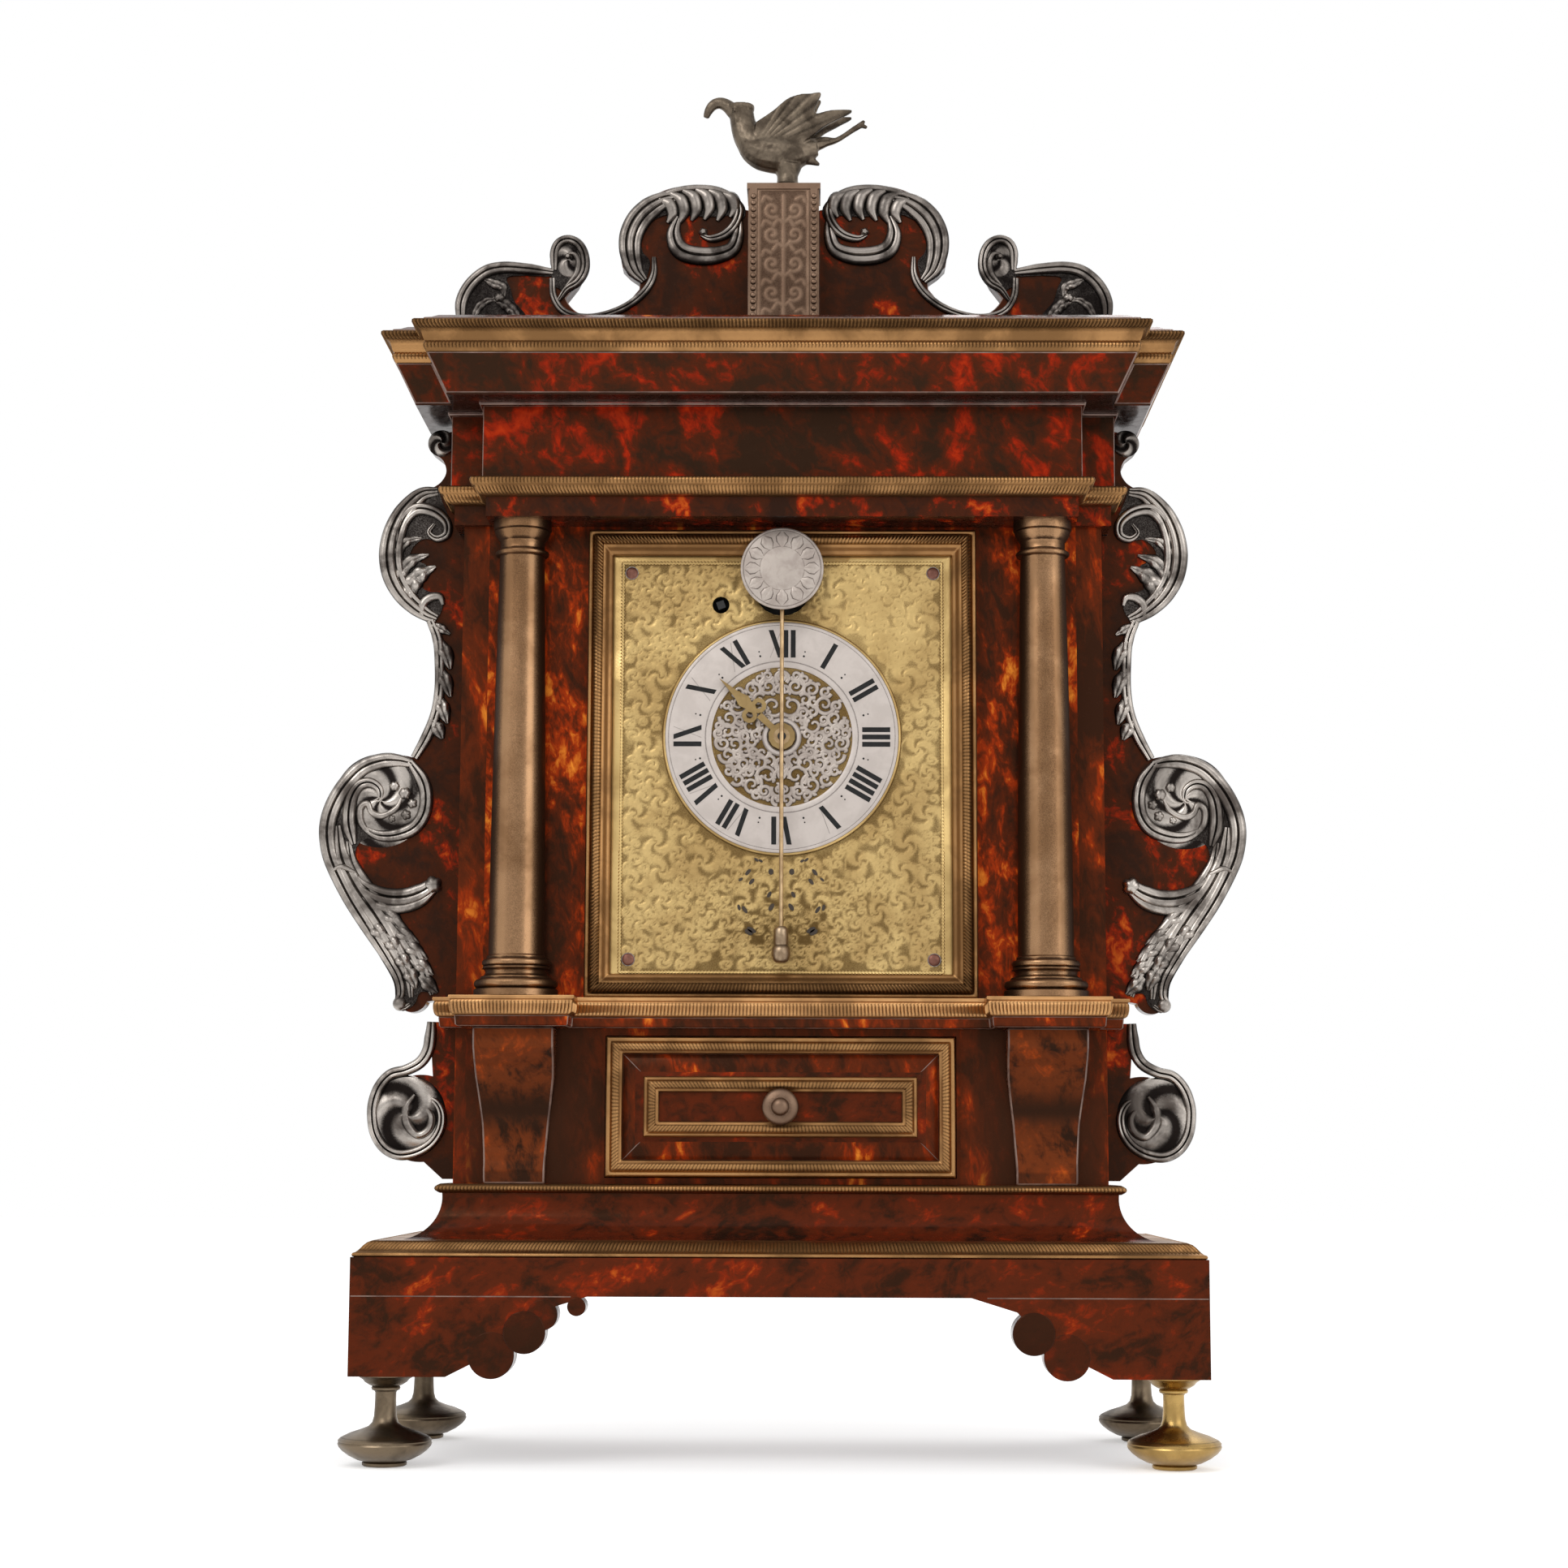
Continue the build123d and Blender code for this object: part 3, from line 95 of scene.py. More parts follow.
def newGroup(name, inputs):
    group = bpy.data.node_groups.new(name, "ShaderNodeTree")
    kinds = {4: "NodeSocketColor", 3: "NodeSocketVector"}
    for label, value in inputs.items():
        kind = kinds[len(value)] if isinstance(value, tuple) else "NodeSocketFloat"
        socket = group.interface.new_socket(name=label, in_out="INPUT", socket_type=kind)
        socket.default_value = value
    for label, kind in groupEnds.items():
        group.interface.new_socket(name=label, in_out="OUTPUT", socket_type=kind)
    place = group.nodes.new("ShaderNodeTexCoord").outputs["Object"]
    return group, group.nodes.new("NodeGroupInput").outputs, place


def closeGroup(group, *sources):
    addNode(group, "NodeGroupOutput", dict(zip(groupEnds, sources)))
    return group


# old metal: tone drifts, fine scratches, dark recesses
def buildOldMetal():
    group, given, place = newGroup("oldMetal", {
        "Bright": (0.8, 0.8, 0.8, 1), "Dull": (0.4, 0.4, 0.4, 1), "Recess": (0.02, 0.02, 0.02, 1),
        "Patch Scale": 60.0, "Patch Amount": 0.6, "Recess Amount": 1.0,
        "Rough Low": 0.25, "Rough High": 0.5})
    patch = noiseAt(group, place, given["Patch Scale"], 5.0, 0.6, 0.4)
    grit = noiseAt(group, place, 2600.0, 3.0, 0.7)
    fleck = spread(group, noiseAt(group, place, 700.0, 4.0, 0.7), 0.56, 0.74)
    amount = sums(group, "MULTIPLY", spread(group, patch, 0.36, 0.64), given["Patch Amount"])
    amount = sums(group, "MAXIMUM", amount, sums(group, "MULTIPLY", fleck, 0.35))
    body = blendColours(group, amount, given["Bright"], given["Dull"])
    mark = sums(group, "ADD", recessMark(group), spread(group, grit, 0.3, 0.7, -0.12, 0.12))
    dark = sums(group, "MULTIPLY", spread(group, mark, 0.16, 0.9), given["Recess Amount"])
    rough = spread(group, amount, 0.0, 1.0, given["Rough Low"], given["Rough High"], "LINEAR")
    rough = sums(group, "ADD", rough, sums(group, "MULTIPLY", dark, 0.25))
    height = sums(group, "ADD", grit, sums(group, "MULTIPLY", patch, 0.4))
    return closeGroup(group, blendColours(group, dark, body, given["Recess"]), rough, height)


# tortoiseshell over red foil: black-brown clouds, red ground, orange flames
def buildShell():
    group, given, place = newGroup("shellVeneer", {
        "Deep": (0.01, 0.004, 0.003, 1), "Ground": (0.06, 0.01, 0.006, 1), "Flame": (0.5, 0.08, 0.02, 1),
        "Spark": (0.8, 0.25, 0.05, 1), "Stretch": (1.0, 1.0, 1.0), "Lean": (0.0, 0.0, 0.0),
        "Cloud Scale": 26.0, "Flame Start": 0.56})
    leaned = addNode(group, "ShaderNodeMapping", {"Vector": place, "Rotation": given["Lean"]}).outputs[0]
    turned = addNode(group, "ShaderNodeMapping", {"Vector": leaned, "Scale": given["Stretch"]}).outputs[0]
    cloud = noiseAt(group, turned, given["Cloud Scale"], 5.0, 0.58, 0.9)
    fine = noiseAt(group, turned, sums(group, "MULTIPLY", given["Cloud Scale"], 5.0), 4.0, 0.62, 0.6)
    mottled = sums(group, "ADD", cloud, sums(group, "MULTIPLY", sums(group, "SUBTRACT", fine, 0.5), 0.5))
    colour = blendColours(group, spread(group, mottled, 0.34, 0.55), given["Deep"], given["Ground"])
    start = given["Flame Start"]
    sparkLow, hotHigh, sparkHigh = (sums(group, "ADD", start, over) for over in (0.11, 0.15, 0.24))
    colour = blendColours(group, spread(group, mottled, start, hotHigh), colour, given["Flame"])
    spark = spread(group, mottled, sparkLow, sparkHigh, 0.0, 1.0, "LINEAR")
    colour = blendColours(group, spark, colour, given["Spark"])
    colour = blendColours(group, recessMark(group), colour, given["Deep"])
    scuff = noiseAt(group, place, 240.0, 5.0, 0.65)
    height = sums(group, "ADD", noiseAt(group, place, 90.0, 2.0), sums(group, "MULTIPLY", scuff, 0.3))
    return closeGroup(group, colour, spread(group, scuff, 0.35, 0.75, 0.14, 0.34), height)


# straight grain for the carcass and the blackened boards
def buildGrain():
    group, given, place = newGroup("woodGrain", {
        "Early": (0.3, 0.18, 0.09, 1), "Late": (0.12, 0.06, 0.03, 1), "Stretch": (0.06, 1.0, 1.0),
        "Grain Scale": 220.0})
    along = addNode(group, "ShaderNodeMapping", {"Vector": place, "Scale": given["Stretch"]}).outputs[0]
    grain = noiseAt(group, along, given["Grain Scale"], 6.0, 0.7, 0.3)
    broad = noiseAt(group, along, 40.0, 3.0, 0.5, 0.6)
    mixed = sums(group, "ADD", sums(group, "MULTIPLY", grain, 0.6), sums(group, "MULTIPLY", broad, 0.4))
    colour = blendColours(group, spread(group, mixed, 0.36, 0.66), given["Late"], given["Early"])
    return closeGroup(group, colour, spread(group, grain, 0.3, 0.7, 0.62, 0.42), grain)


oldMetal, shellVeneer, woodGrain = buildOldMetal(), buildShell(), buildGrain()
looks, slotOf = {}, {}


def finish(name, slot, group, values, bump, distance, shader):
    material = bpy.data.materials.new(name)
    material.use_nodes = True
    tree = material.node_tree
    tree.nodes.clear()
    effect = addNode(tree, "ShaderNodeGroup", values, node_tree=group).outputs
    relief = addNode(tree, "ShaderNodeBump", {"Strength": bump, "Distance": distance,
                                              "Height": effect["Height"]})
    surface = addNode(tree, "ShaderNodeBsdfPrincipled", {
        "Base Color": effect["Color"], "Roughness": effect["Roughness"], "Normal": relief.outputs[0],
        **shader})
    addNode(tree, "ShaderNodeOutputMaterial", {0: surface.outputs[0]})
    looks[name] = material
    slotOf[name] = slot


def metal(name, slot, bright, dull, recess, scale, patch, dark, rough, bump=0.25, metallic=1.0):
    values = {"Bright": tint(*bright), "Dull": tint(*dull), "Recess": tint(*recess), "Patch Scale": scale,
              "Patch Amount": patch, "Recess Amount": dark, "Rough Low": rough[0], "Rough High": rough[1]}
    finish(name, slot, oldMetal, values, bump, 0.00012, {"Metallic": metallic})


def shell(name, stretch, lean, scale, start, deep=(42, 23, 15), ground=(78, 29, 15), flame=(146, 36, 10),
          spark=(206, 100, 32)):
    values = {"Deep": tint(*deep), "Ground": tint(*ground), "Flame": tint(*flame), "Spark": tint(*spark),
              "Stretch": stretch, "Lean": (0.0, lean, 0.0), "Cloud Scale": scale, "Flame Start": start}
    finish(name, "tortoiseshell", shellVeneer, values, 0.12, 0.0004,
           {"Specular IOR Level": 0.2, "Specular Tint": (1.0, 0.4, 0.2, 1.0)})


def wood(name, slot, early, late, bump, gloss):
    values = {"Early": tint(*early), "Late": tint(*late)}
    finish(name, slot, woodGrain, values, bump, 0.0003, {"Specular IOR Level": gloss})


# name, slot, bright, dull and recess tones, patch size and share, recess share, roughness, bump, metal
metal("rippleBrass", "brass_ripple", (160, 119, 76), (108, 78, 48), (56, 37, 20), 40.0, 0.8, 0.85,
      (0.3, 0.52))
metal("columnBrass", "brass_column", (164, 127, 93), (116, 84, 56), (48, 31, 21), 34.0, 0.75, 0.95,
      (0.24, 0.42))
metal("darkBrass", "brass_dark", (122, 107, 88), (80, 69, 56), (32, 27, 20), 60.0, 0.8, 0.9, (0.28, 0.5))
metal("brightBrass", "brass_dark", (180, 148, 90), (132, 105, 60), (60, 43, 20), 60.0, 0.6, 0.9,
      (0.24, 0.42))
metal("giltBrass", "gilt_brass", (216, 192, 130), (186, 158, 98), (128, 98, 48), 46.0, 0.5, 0.8,
      (0.32, 0.5))
metal("dialBrass", "gilt_brass", (202, 173, 116), (158, 130, 83), (78, 57, 28), 40.0, 0.8, 0.9, (0.3, 0.48))
metal("waistBrass", "brass_ripple", (196, 148, 98), (142, 105, 68), (66, 45, 26), 40.0, 0.8, 0.85,
      (0.3, 0.52))
metal("handGilt", "gilt_brass", (156, 132, 90), (118, 96, 62), (70, 50, 28), 120.0, 0.6, 0.9, (0.36, 0.52))
metal("engravedBrass", "engraved_brass", (124, 101, 84), (98, 76, 61), (52, 36, 27), 60.0, 0.6, 0.85,
      (0.36, 0.54))
metal("movementBrass", "movement_brass", (204, 170, 96), (168, 132, 70), (70, 50, 24), 70.0, 0.5, 0.8,
      (0.25, 0.45))
metal("silver", "silver", (180, 172, 164), (82, 75, 70), (32, 27, 25), 55.0, 1.0, 1.0, (0.24, 0.46))
metal("crestSilver", "silver", (148, 140, 133), (66, 60, 56), (24, 20, 19), 55.0, 1.0, 1.0, (0.28, 0.48))
metal("silvered", "silvered", (194, 184, 177), (174, 164, 157), (104, 96, 92), 120.0, 0.5, 0.8, (0.45, 0.6),
      0.2, 0.5)
metal("discSilver", "silvered", (178, 167, 158), (150, 138, 130), (92, 82, 76), 150.0, 0.7, 1.0,
      (0.4, 0.56), 0.3, 0.7)
metal("bobSteel", "silvered", (160, 139, 114), (112, 92, 72), (54, 40, 30), 200.0, 0.7, 0.9, (0.3, 0.5))
metal("rodBrass", "steel", (178, 152, 116), (134, 108, 78), (70, 52, 34), 200.0, 0.6, 0.9, (0.3, 0.5))
metal("steel", "steel", (150, 148, 146), (104, 100, 98), (40, 38, 36), 90.0, 0.5, 0.8, (0.25, 0.45))
metal("holeShadowBlack", "steel", (26, 25, 24), (18, 17, 17), (10, 10, 10), 90.0, 0.5, 0.8, (0.5, 0.7), 0.3, 0.2)
metal("bronze", "bronze", (112, 100, 86), (68, 59, 50), (24, 20, 17), 130.0, 0.9, 0.95, (0.34, 0.56), 0.4)
metal("copperRivet", "copper_rivet", (122, 84, 72), (92, 60, 52), (40, 24, 20), 300.0, 0.6, 0.9, (0.4, 0.6))
metal("blackWax", "silvered", (9, 9, 9), (14, 13, 13), (6, 6, 6), 500.0, 0.6, 0.0, (0.8, 0.95), 0.3, 0.0)
metal("hairGrey", "silvered", (146, 138, 132), (170, 161, 154), (90, 84, 80), 300.0, 0.8, 0.0, (0.5, 0.65),
      0.2, 0.3)
metal("shellEdge", "tortoiseshell", (132, 106, 94), (84, 58, 48), (40, 20, 14), 90.0, 0.9, 0.0, (0.35, 0.5),
      0.2, 0.0)
# painted shade: dark brown for the holes of the dial piercings
metal("piercingShade", "gilt_brass", (52, 38, 22), (36, 25, 14), (18, 12, 8), 120.0, 0.7, 0.9, (0.5, 0.7),
      0.3, 0.0)
# name, stretch, lean and scale of the clouds, where the flames start, then the tones that differ
shell("shellPanel", (1.0, 1.0, 0.42), 0.12, 46.0, 0.53, ground=(88, 34, 15), flame=(160, 50, 12),
      spark=(238, 140, 46))
shell("shellFlame", (-1.0, 1.0, 0.5), 0.1, 58.0, 0.49, ground=(92, 33, 13), flame=(176, 54, 12),
      spark=(244, 146, 48))
# the corbel finish has a lighter ground, a painted highlight on the upper face
shell("shellCorbelLit", (1.0, 1.0, 0.6), 0.3, 50.0, 0.56, deep=(30, 20, 15), ground=(104, 48, 22),
      flame=(150, 62, 22))
shell("shellStreak", (0.8, 1.0, 0.6), 0.5, 52.0, 0.51, deep=(34, 24, 17), ground=(72, 27, 13),
      flame=(142, 29, 9), spark=(178, 48, 14))
shell("shellPlinth", (0.75, 1.0, 1.0), 0.5, 44.0, 0.56, deep=(36, 21, 14), ground=(82, 31, 15),
      flame=(138, 38, 12))
shell("shellBoard", (1.0, 1.0, 0.8), 0.4, 44.0, 0.54, deep=(34, 22, 18), ground=(60, 27, 16),
      flame=(150, 34, 11))
wood("ebonisedWood", "ebonised_wood", (46, 36, 31), (22, 17, 15), 0.25, 0.3)
wood("carcassWood", "carcass_wood", (150, 112, 74), (104, 70, 42), 0.3, 0.25)
print("finishes made:", len(looks))


# shapes are (points in mm, faces, recess marks)
def joined(shapes):
    points, faces, marks, start = [], [], [], 0
    for shape in shapes:
        points.append(shape[0])
        marks.append(shape[2])
        faces.extend(tuple(index + start for index in face) for face in shape[1])
        start += len(shape[0])
    return np.vstack(points), faces, np.concatenate(marks)


def flipped(shape):
    return shape[0] * (-1.0, 1.0, 1.0), [face[::-1] for face in shape[1]], shape[2]


def onSide(shape, side):
    return shape if side > 0 else flipped(shape)


def bothSides(shape):
    return joined([shape, flipped(shape)])


def moved(shape, x=0.0, y=0.0):
    return shape[0] + (x, y, 0.0), shape[1], shape[2]


def shaded(shape, extra):
    return shape[0], shape[1], np.clip(shape[2] + extra, 0, 1)


def addPiece(name, shape, look, replaced=(), body="case", angle=38.0, closed=True):
    points, faces, marks = shape
    mesh = bpy.data.meshes.new(name)
    mesh.from_pydata((points * mm).tolist(), [], faces)
    if closed:
        work = bmesh.new()
        work.from_mesh(mesh)
        bmesh.ops.recalc_face_normals(work, faces=work.faces)
        work.to_mesh(mesh)
        work.free()
    mesh.polygons.foreach_set("use_smooth", np.ones(len(mesh.polygons), dtype=bool))
    mesh.set_sharp_from_angle(angle=math.radians(angle))
    layer = mesh.attributes.new("recess", "FLOAT", "POINT")
    layer.data.foreach_set("value", np.asarray(marks, dtype=np.float32))
    mesh.materials.append(looks[look])
    piece = bpy.data.objects.new(name, mesh)
    bpy.context.scene.collection.objects.link(piece)
    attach(piece, body)
    if replaced:
        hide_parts(*replaced)
    return piece


def softenEdges(piece, width, line=None, sharp=40):
    bevel = piece.modifiers.new("arris", "BEVEL")
    bevel.width = width * mm
    bevel.segments = 2
    bevel.limit_method = "ANGLE"
    bevel.angle_limit = math.radians(sharp)
    if line:  # the arris shows as a thin paler line, a worn edge and a painted highlight
        piece.data.materials.append(looks[line])
        bevel.material = len(piece.data.materials) - 1


def dress(node, look, width, line=None):
    piece = nodes[node]
    piece.data.materials.clear()
    piece.data.materials.append(looks[look])
    if width:
        softenEdges(piece, width, line)


# a profile row is two measures, and a recess mark or the height of a ripple where it has one
def marked(profile):
    return [entry if len(entry) > 2 else (*entry, 0.0) for entry in profile]


def unit(rows):
    return rows / np.maximum(np.linalg.norm(rows, axis=1), 1e-9)[:, None]


def listed(values, t):
    return np.interp(t, np.linspace(0, 1, len(values)), values)


# quads from ring to ring, with both ends closed unless the rings come round again
def ringFaces(total, size, loop=False):
    faces = []
    for ring in range(total if loop else total - 1):
        a, b = ring * size, ((ring + 1) % total) * size
        faces.extend((a + i, a + (i + 1) % size, b + (i + 1) % size, b + i) for i in range(size))
    if not loop:
        faces.append(tuple(range(size)))
        faces.append(tuple(range((total - 1) * size, total * size))[::-1])
    return faces


def lathed(profile, at, axis="z", turns=56):
    rows = marked(profile)
    if rows[0][0] > 0:
        rows.insert(0, (0.0, rows[0][1], rows[0][2]))
    if rows[-1][0] > 0:
        rows.append((0.0, rows[-1][1], rows[-1][2]))
    angles = np.arange(turns) * (2 * math.pi / turns)
    points, marks, starts, sizes = [], [], [], []
    for radius, height, mark in rows:
        ring = angles if radius > 0 else angles[:1]
        starts.append(len(points))
        sizes.append(len(ring))
        for angle in ring:
            a, b = radius * math.cos(angle), radius * math.sin(angle)
            points.append((a, b, height) if axis == "z" else (a, -height, b))
            marks.append(mark)
    faces = []
    for row in range(len(rows) - 1):
        a, b = starts[row], starts[row + 1]
        for i in range(turns):
            j = (i + 1) % turns
            if sizes[row] == 1 and sizes[row + 1] > 1:
                faces.append((a, b + i, b + j))
            elif sizes[row + 1] == 1 and sizes[row] > 1:
                faces.append((a + i, b, a + j))
            elif sizes[row] > 1:
                faces.append((a + i, a + j, b + j, b + i))
    return np.array(points) + np.array(at), faces, np.array(marks)


def bulge(radius, low, high, swell, mark=0.0):
    turns = np.linspace(0, math.pi, 7)
    middle, half = (low + high) / 2, (high - low) / 2
    return [(radius + swell * math.sin(t), middle - half * math.cos(t), mark) for t in turns]


# runs a moulding profile round mitred corners; ripples rise and fall across each run
def sweptRuns(cornersOf, profile, loop=False, pitch=1.3, side=1.0):
    rows = marked(profile)
    along = np.gradient(np.array([row[:2] for row in rows]), axis=0)
    out = unit(side * np.c_[along[:, 1], -along[:, 0]])
    lows, highs = [], []
    for row, push in zip(rows, out):
        lows.append(np.array(cornersOf(row[0], row[1])))
        highs.append(np.array(cornersOf(row[0] + push[0] * row[2], row[1] + push[1] * row[2])))
    lows, highs = np.array(lows), np.array(highs)
    corners = lows.shape[1]
    runs = corners if loop else corners - 1
    wavy = any(row[2] for row in rows)
    rings, marks = [], []
    for run in range(runs):
        first, last = run, (run + 1) % corners
        length = np.linalg.norm(lows[len(rows) // 2, last] - lows[len(rows) // 2, first])
        count = max(2, 2 * int(round(length / pitch))) if wavy else 1
        for step in range(count):
            t = step / count
            source = highs if step % 2 else lows
            rings.append(source[:, first] * (1 - t) + source[:, last] * t)
            marks.append([0.0 if step % 2 or not row[2] else 0.75 for row in rows])
    if not loop:
        rings.append(lows[:, -1])
        marks.append([0.0] * len(rows))
    return np.vstack(rings), ringFaces(len(rings), len(rows), loop), np.array(marks).ravel()


# a moulding round an upright rectangle
def framed(width, height, z, seat, profile, pitch):
    def corners(inset, rise):
        x, h, y = width / 2 - inset, height / 2 - inset, seat - rise
        return [(-x, y, z - h), (x, y, z - h), (x, y, z + h), (-x, y, z + h)]
    return sweptRuns(corners, profile, True, pitch, -1.0)


def extruded(edge, front, back):
    edge = np.array(edge, float)
    count = len(edge)
    points = np.vstack([np.c_[edge[:, 0], np.full(count, y), edge[:, 1]] for y in (front, back)])
    faces = [tuple(range(count)), tuple(range(count, 2 * count))[::-1]]
    faces += [(i, i + count, (i + 1) % count + count, (i + 1) % count) for i in range(count)]
    return points, faces, np.zeros(2 * count)


def arcPoints(centre, radius, start, end, steps):
    angles = np.radians(np.linspace(start, end, steps + 1))
    return [(centre[0] + radius * math.cos(a), centre[1] + radius * math.sin(a)) for a in angles]


def curved(points, step):
    knots = np.array(points, float)
    knots = np.vstack([2 * knots[0] - knots[1], knots, 2 * knots[-1] - knots[-2]])
    t = np.linspace(0, 1, 14, endpoint=False)[:, None]
    parts = []
    for a, b, c, d in zip(knots[:-3], knots[1:-2], knots[2:-1], knots[3:]):
        parts.append(0.5 * (2 * b + (c - a) * t + (2 * a - 5 * b + 4 * c - d) * t ** 2
                            + (3 * b - a - 3 * c + d) * t ** 3))
    line = np.vstack(parts + [knots[-2][None]])
    reach = np.r_[0, np.cumsum(np.linalg.norm(np.diff(line, axis=0), axis=1))]
    even = np.linspace(0, reach[-1], max(5, int(reach[-1] / step)) + 1)
    return np.column_stack([np.interp(even, reach, line[:, k]) for k in range(line.shape[1])])


def spiral(centre, outer, inner, start, turn, steps):
    angles = np.radians(np.linspace(start, start + turn, steps + 1))
    radii = np.linspace(outer, inner, steps + 1)
    return [(centre[0] + r * math.cos(a), centre[1] + r * math.sin(a)) for r, a in zip(radii, angles)]


# embossed strip: spine in x and z, width and rise listed along it, strands or a leaf across it
def ribbon(spine, width, rise, base, form, lobes=0.0, step=0.8):
    line = curved(spine, step)
    t = np.linspace(0, 1, len(line))
    along = unit(np.gradient(line, axis=0))
    side = np.c_[-along[:, 1], along[:, 0]]
    half, high = listed(width, t) / 2, listed(rise, t)
    if form == "leaf":  # lobed edges and a sunk midrib
        across = 11
        u = np.linspace(-1, 1, across)
        cut = 0.30 + 0.70 * np.sqrt(np.maximum(0.0, 1 - u * u)) - 0.26 * np.exp(-(u / 0.2) ** 2)
    else:  # rolled strands side by side
        across = 6 * form + 1
        u = np.linspace(-1, 1, across)
        place = (u + 1) / 2 * form
        inside = 2 * (place - np.floor(np.minimum(place, form - 1e-6))) - 1
        crown = 1 - 0.22 * u * u
        cut = (0.50 + 0.50 * np.sqrt(np.maximum(0.0, 1 - inside ** 2))) * crown
        half = half * 1.1
    heights = high[:, None] * cut[None, :]
    if lobes:
        wave = t[:, None] * lobes * 2 * math.pi + 1.7 * np.abs(u)[None, :]
        heights = heights * (0.66 + 0.34 * (0.5 + 0.5 * np.cos(wave)))
        half = half * (0.84 + 0.16 * np.abs(np.cos(t * lobes * math.pi)))
    marks = np.clip(1.42 - 1.5 * heights / np.maximum(high[:, None], 1e-6), 0, 1)
    rings, dark = [], []
    for i in range(len(line)):
        flat = line[i] + side[i] * (u * half[i])[:, None]
        top = np.c_[flat[:, 0], base - heights[i], flat[:, 1]]
        foot = np.array([[flat[-1, 0], base, flat[-1, 1]], [flat[0, 0], base, flat[0, 1]]])
        rings.append(np.vstack([top, foot]))
        dark.append(np.r_[marks[i], 0.9, 0.9])
    return np.vstack(rings), ringFaces(len(line), across + 2), np.concatenate(dark)


# turban boss: ridges wind in towards the middle
def swirl(x, z, radius, rise, base, arms, twist, deep, rings, turns, dark):
    points, marks = [(x, base - rise * (1 - deep * 0.4), z)], [0.2]
    for ring in range(1, rings + 1):
        share = ring / rings
        for step in range(turns):
            angle = 2 * math.pi * step / turns
            ridge = 0.5 + 0.5 * math.cos(arms * angle + twist * 2 * math.pi * share)
            height = rise * (1 - 0.7 * share ** 2.4) * (1 - deep + deep * ridge)
            height = height if ring < rings else 0.0
            across, up = radius * share * math.cos(angle), radius * share * math.sin(angle)
            points.append((x + across, base - height, z + up))
            marks.append(0.12 + dark * (1 - ridge) ** 1.6)
    faces = [(0, 1 + (step + 1) % turns, 1 + step) for step in range(turns)]
    for ring in range(rings - 1):
        a, b = 1 + ring * turns, 1 + (ring + 1) * turns
        faces.extend((a + i, a + (i + 1) % turns, b + (i + 1) % turns, b + i) for i in range(turns))
    faces.append(tuple(range(1 + (rings - 1) * turns, 1 + rings * turns)))
    return np.array(points), faces, np.array(marks)


# silver sheet that carries the strands, darkened as tarnish and as painted shade
def backing(outline, base, rise=0.7, mark=0.78):
    edge = curved(list(outline) + [outline[0]], 1.2)[:-1]
    return shaded(extruded(edge, base - rise, base), mark)


def dome(x, z, radius, rise, base, petals=0):
    profile = [(radius, 0.0, 0.8), (radius * 0.96, rise * 0.35, 0.3), (radius * 0.75, rise * 0.75, 0.0),
               (radius * 0.4, rise * 0.96, 0.0)]
    points, faces, marks = lathed(profile, (x, base, z), "y", 20)
    if petals:
        angle = np.arctan2(points[:, 2] - z, points[:, 0] - x)
        pull = 0.80 + 0.20 * np.abs(np.cos(angle * petals / 2))
        points[:, 0] = x + (points[:, 0] - x) * pull
        points[:, 2] = z + (points[:, 2] - z) * pull
        marks = np.clip(marks + (0.95 - pull) * 3, 0, 1)
    return points, faces, marks


# a chased mount from the rows of its dictionary, all of them on one face
def mountOf(rows, base):
    shapes = [backing(outline, base, *rest) for outline, *rest in rows["sheets"]]
    shapes += [ribbon(spine, width, rise, base, *rest) for spine, width, rise, *rest in rows["strands"]]
    shapes += [swirl(x, z, radius, rise, base, *rest) for x, z, radius, rise, *rest in rows["bosses"]]
    shapes += [dome(x, z, radius, rise, base, *rest) for x, z, radius, rise, *rest in rows["beads"]]
    return shapes


# round limb with an oval section, for the cast bird
def limb(points, thick, deep, turns=14, step=0.7):
    line = curved(points, step)
    t = np.linspace(0, 1, len(line))
    along = unit(np.gradient(line[:, [0, 2]], axis=0))
    a, b = listed(thick, t), listed(deep, t)
    angles = np.arange(turns) * (2 * math.pi / turns)
    rings = []
    for i in range(len(line)):
        c, s = np.cos(angles) * a[i], np.sin(angles) * b[i]
        rings.append(np.c_[line[i, 0] - along[i, 1] * c, line[i, 1] + s, line[i, 2] + along[i, 0] * c])
    return np.vstack(rings), ringFaces(len(line), turns), np.zeros(len(line) * turns)


# plans of the case, as the mouldings go round it
case = {"half": 124, "bay": 110, "front": -31.5, "back": 76.5, "breakfront": 16, "column": 100.5,
        "pedestal": 15.5}


def planOf(half, z):
    return [(-x, y, z) for x, y in half] + [(x, y, z) for x, y in reversed(half)]


def plainPlan(reach, z):
    x, y = case["half"] + reach, case["front"] - reach
    return planOf([(x, case["back"]), (x, y)], z)


def bayPlan(reach, z):
    x, y = case["half"] + reach, case["front"] - reach
    b, f = case["bay"] + reach, y - case["breakfront"]
    return planOf([(x, case["back"]), (x, y), (b, y), (b, f)], z)


def waistPlan(reach, z):
    x, y = case["half"] + reach, case["front"] - reach
    f = y - case["breakfront"]
    a, b = case["column"] + case["pedestal"] + reach, case["column"] - case["pedestal"] - reach
    return planOf([(x, case["back"]), (x, y), (a, y), (a, f), (b, f), (b, y)], z)


